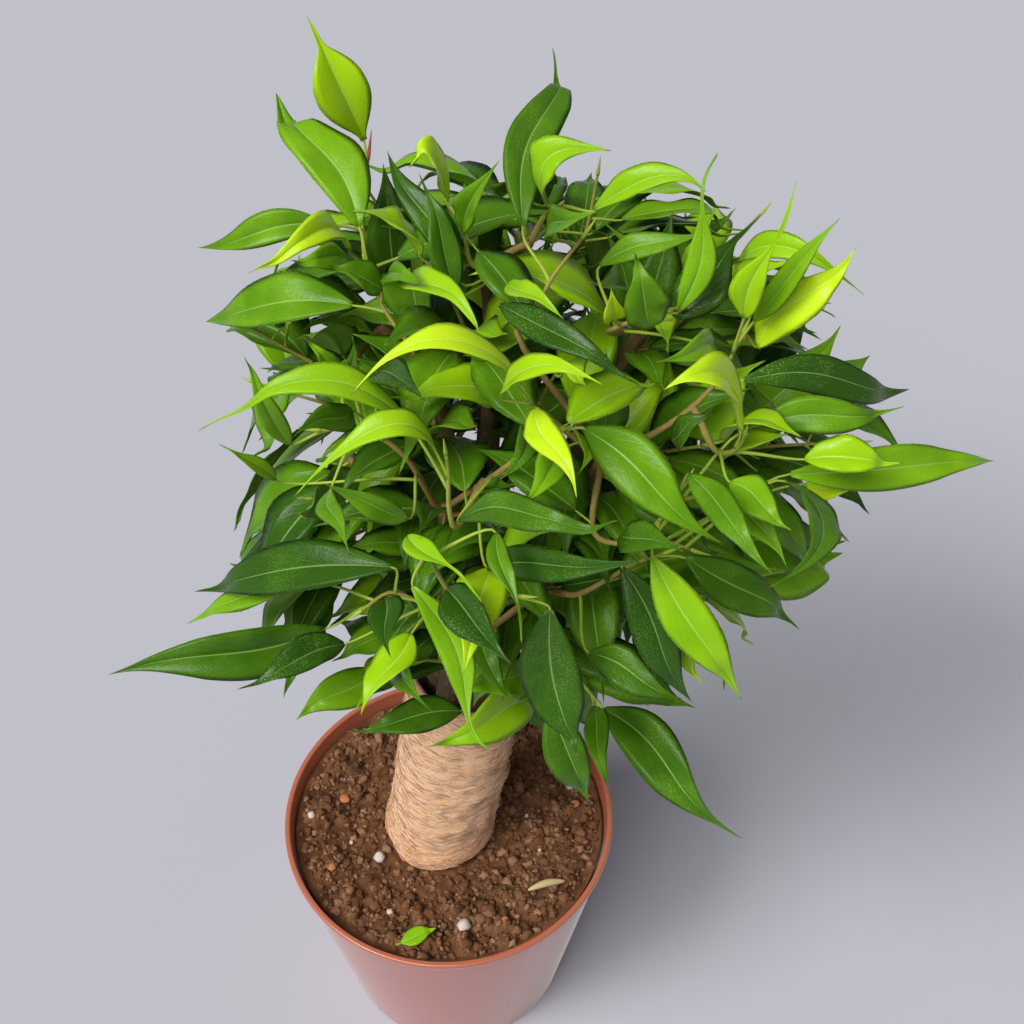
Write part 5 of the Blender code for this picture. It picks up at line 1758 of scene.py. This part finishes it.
def make_leaf_tree():
    """Sets a picked leaf on each point, turned and sized as the point says."""
    tree, given, result = new_spread("inner_leaves")
    points = node(tree, "GeometryNodeMeshToPoints", {"Mesh": given["Geometry"]}).outputs[0]
    kind = "GeometryNodeInputNamedAttribute"
    turn = node(tree, kind, {"Name": "turn"}, data_type="FLOAT_VECTOR").outputs[0]
    size = node(tree, kind, {"Name": "size"}, data_type="FLOAT").outputs[0]
    return set_shapes(tree, given, result, points, turn, size)


def inner_variant(seed):
    """A leaf one unit long with its stalk's root at the origin, pointing along +Y."""
    looks = random.Random(seed)
    foot = Vector((0.0, 0.16, 0.01))
    tip = Vector((looks.uniform(-0.08, 0.08), 1.0, looks.uniform(-0.22, -0.05)))
    middle = (foot + tip) * 0.5 + UP * looks.uniform(0.05, 0.14)
    shape = new_shape()
    place = [point * LEAF_LENGTH for point in (Vector((0.0, 0.0, 0.0)), foot, middle, tip)]
    place += [LEAF_LENGTH * LEAF_SHARE * looks.uniform(*WIDTH_CHANCE), UP]
    add_blade(shape, place, 0.0, 0.0, looks, None, INNER_CALM, INNER_BLADE)
    mesh = mesh_of(f"inner_leaf_{seed}", shape, [leaf_skin])
    for label in ("tone", "dust"):
        mesh.attributes.remove(mesh.attributes[label])
    mesh.transform(Matrix.Scale(1.0 / LEAF_LENGTH, 4))
    return mesh


def blade_of(mesh):
    """A leaf's points, and its faces apart from its stalk's."""
    stalk = mesh.attributes["stalk"].data
    faces = [tuple(face.vertices) for face in mesh.polygons if stalk[face.vertices[0]].value == 0.0]
    return [vertex.co.copy() for vertex in mesh.vertices], faces


def in_open_part(pixel):
    return any(a[0] < pixel[0] < b[0] and a[1] < pixel[1] < b[1] for a, b in OPEN_PARTS)


def inner_fits(root, way, size):
    """True if an inner leaf would end within the crown and within its outline."""
    tip = root + way * size
    facing = (tip - CROWN_MIDDLE).normalized().dot((EYE - CROWN_MIDDLE).normalized())
    limit = INNER_FRONT if facing > FACING_EYE else INNER_OTHER
    if (tip - CROWN_MIDDLE).length > limit or tip.z < INNER_LOWEST:
        return False
    pixel = picture_of(tip)
    belly = picture_of(root + way * (0.6 * size))
    return inside_outline(pixel) and inside_outline(belly) and not in_open_part(pixel)


def make_inner_leaves():
    draw = random.Random(77)
    kinds = [inner_variant(seed) for seed in range(INNER_KINDS)]
    blades = [blade_of(kind) for kind in kinds]
    rooms = list(spray_rooms)
    points = []
    turns = []
    values = dict(size=[], tone=[], dust=[])
    for _ in range(INNER_TRIES):
        root = draw.choice(draw.choice(limbs))
        outward = root - CROWN_MIDDLE
        chance = Vector([draw.gauss(0.0, 1.0) for _ in range(3)])
        way = (outward.normalized() * 0.9 + chance * 0.55 + UP * 0.1).normalized()
        size = draw.uniform(*INNER_SIZE) * LEAF_LENGTH
        if not inner_fits(root, way, size):
            continue
        upward = across(outward.normalized() * 0.6 + UP * 0.8 + chance * 0.3, way)
        turn = Matrix((way.cross(upward), way, upward)).transposed()
        blade_points, blade_faces = blades[len(points) % INNER_KINDS]
        place = Matrix.Translation(root) @ turn.to_4x4() @ Matrix.Scale(size, 4)
        room = room_of([place @ point for point in blade_points], blade_faces)
        if not is_free(room, rooms):
            continue
        rooms.append(room)
        points.append(tuple(root))
        turns += list(turn.to_euler())
        height = ((root + way * size).z - CROWN_MIDDLE.z) / CROWN_RADII.z
        lime = 0.45 if draw.random() < 0.05 + 0.25 * max(0.0, height) else 0.0
        tone = min(1.0, 0.02 + 0.22 * draw.random() + lime)
        dust = draw.uniform(0.1, 0.8) * (1.0 - 0.75 * tone)
        for label, value in (("size", size), ("tone", tone), ("dust", dust)):
            values[label].append(value)
    mesh = bpy.data.meshes.new("inner_points")
    mesh.from_pydata(points, [], [])
    mesh.attributes.new("turn", "FLOAT_VECTOR", "POINT").data.foreach_set("vector", turns)
    for label, numbers in values.items():
        set_attribute(mesh, label, numbers)
    leaves = grown("inner_leaves", mesh, make_leaf_tree(), kinds, leaf_skin)
    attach(leaves, "root")


make_inner_leaves()

# Scraps on the peat
# A piece of green leaf has fallen on the peat in front, and a pale dry straw lies to its right.
FALLEN_LEAF = ((397, 948), (437, 931))
FALLEN_LEAF_WIDTH = 0.0068
STRAW = ((528, 893), (565, 884))
SCRAP_RISE = 0.003


def laid_on_peat(pixels, thickness):
    """Both ends of a scrap that rests on the highest crumb under it."""
    ends = [seen_on_peat(pixel) for pixel in pixels]
    top = max(on_peat(*ends[0].lerp(ends[1], k / 10)[:2]) for k in range(11))
    for point in ends:
        point.z = min(top, soil_level(*ends[0][:2]) + SCRAP_RISE) + thickness * 0.5
    return ends


def make_fallen_leaf():
    start, end = laid_on_peat(FALLEN_LEAF, 0.0006)
    foot = start.lerp(end, 0.12)
    place = (start, foot, (foot + end) * 0.5 + UP * 0.0006, end, FALLEN_LEAF_WIDTH, UP)
    shape = new_shape()
    add_blade(shape, place, 0.46, 0.4, random.Random(5), dict(body=1.0, wave=0.05), 0.5)
    leaf = add_object("fallen_scrap", mesh_of("fallen_scrap", shape, [leaf_skin]))
    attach(leaf, "root")
    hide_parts("fallen_leaf")


def make_straw():
    start, end = laid_on_peat(STRAW, 0.0014)
    colours = two_colours((0.36, 0.27, 0.10), (0.58, 0.50, 0.26))
    scales = (300.0, 1400.0, (0.4, 1.0, 1.0))
    finish = blotchy_finish("dry_straw", scales, colours, (0.0003, 0.8), Roughness=0.8)
    shape = new_shape()
    bow = Vector((0.0, 0.0006, 0.0006))
    path = smooth_path([start, start.lerp(end, 0.5) + bow, end], 16)
    radii = [0.0003 + 0.0011 * math.sin(math.pi * k / 15) ** 0.7 for k in range(16)]
    sweep(shape, path, radii, 8, [0.5] * 16)
    straw = add_object("dry_stalk", mesh_of("dry_stalk", shape, [finish]))
    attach(straw, "root")
    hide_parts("straw")


make_fallen_leaf()
make_straw()

# Studio
# A plain pale grey floor, a broad soft light from the front like a large window, a lower one from
# the left that throws the shadow beside the pot, and an even pale sky.
FLOOR_HALF = 40.0
SUNS = {
    "window": dict(source=(-0.34, -0.58, 1.0), strength=2.40, spread=38),
    "side_window": dict(source=(-0.85, -0.50, 1.0), strength=1.75, spread=24),
}
SKY_STRENGTH = 0.21


def make_floor():
    mesh = bpy.data.meshes.new("floor")
    corners = [(-1, -1), (1, -1), (1, 1), (-1, 1)]
    mesh.from_pydata([(x * FLOOR_HALF, y * FLOOR_HALF, 0.0) for x, y in corners], [], [(0, 1, 2, 3)])
    material, tree = new_finish("floor_paint")
    shaded(tree, Base_Color=(0.430, 0.436, 0.488, 1.0), Roughness=0.85, Specular_IOR_Level=0.1)
    mesh.materials.append(material)
    add_object("floor", mesh)


def make_light():
    for name, sun in SUNS.items():
        light = bpy.data.lights.new(name, "SUN")
        light.energy = sun["strength"]
        light.angle = math.radians(sun["spread"])
        light.color = (1.0, 0.985, 0.96)
        window = add_object(name, light)
        window.rotation_euler = Vector(sun["source"]).to_track_quat("Z", "Y").to_euler()
    world = bpy.data.worlds.new("studio")
    world.use_nodes = True
    sky = {"Color": (0.93, 0.95, 1.0, 1.0), "Strength": SKY_STRENGTH}
    feed(world.node_tree, world.node_tree.nodes["Background"], sky)
    bpy.context.scene.world = world
    bpy.context.scene.view_settings.view_transform = "Standard"


make_floor()
make_light()
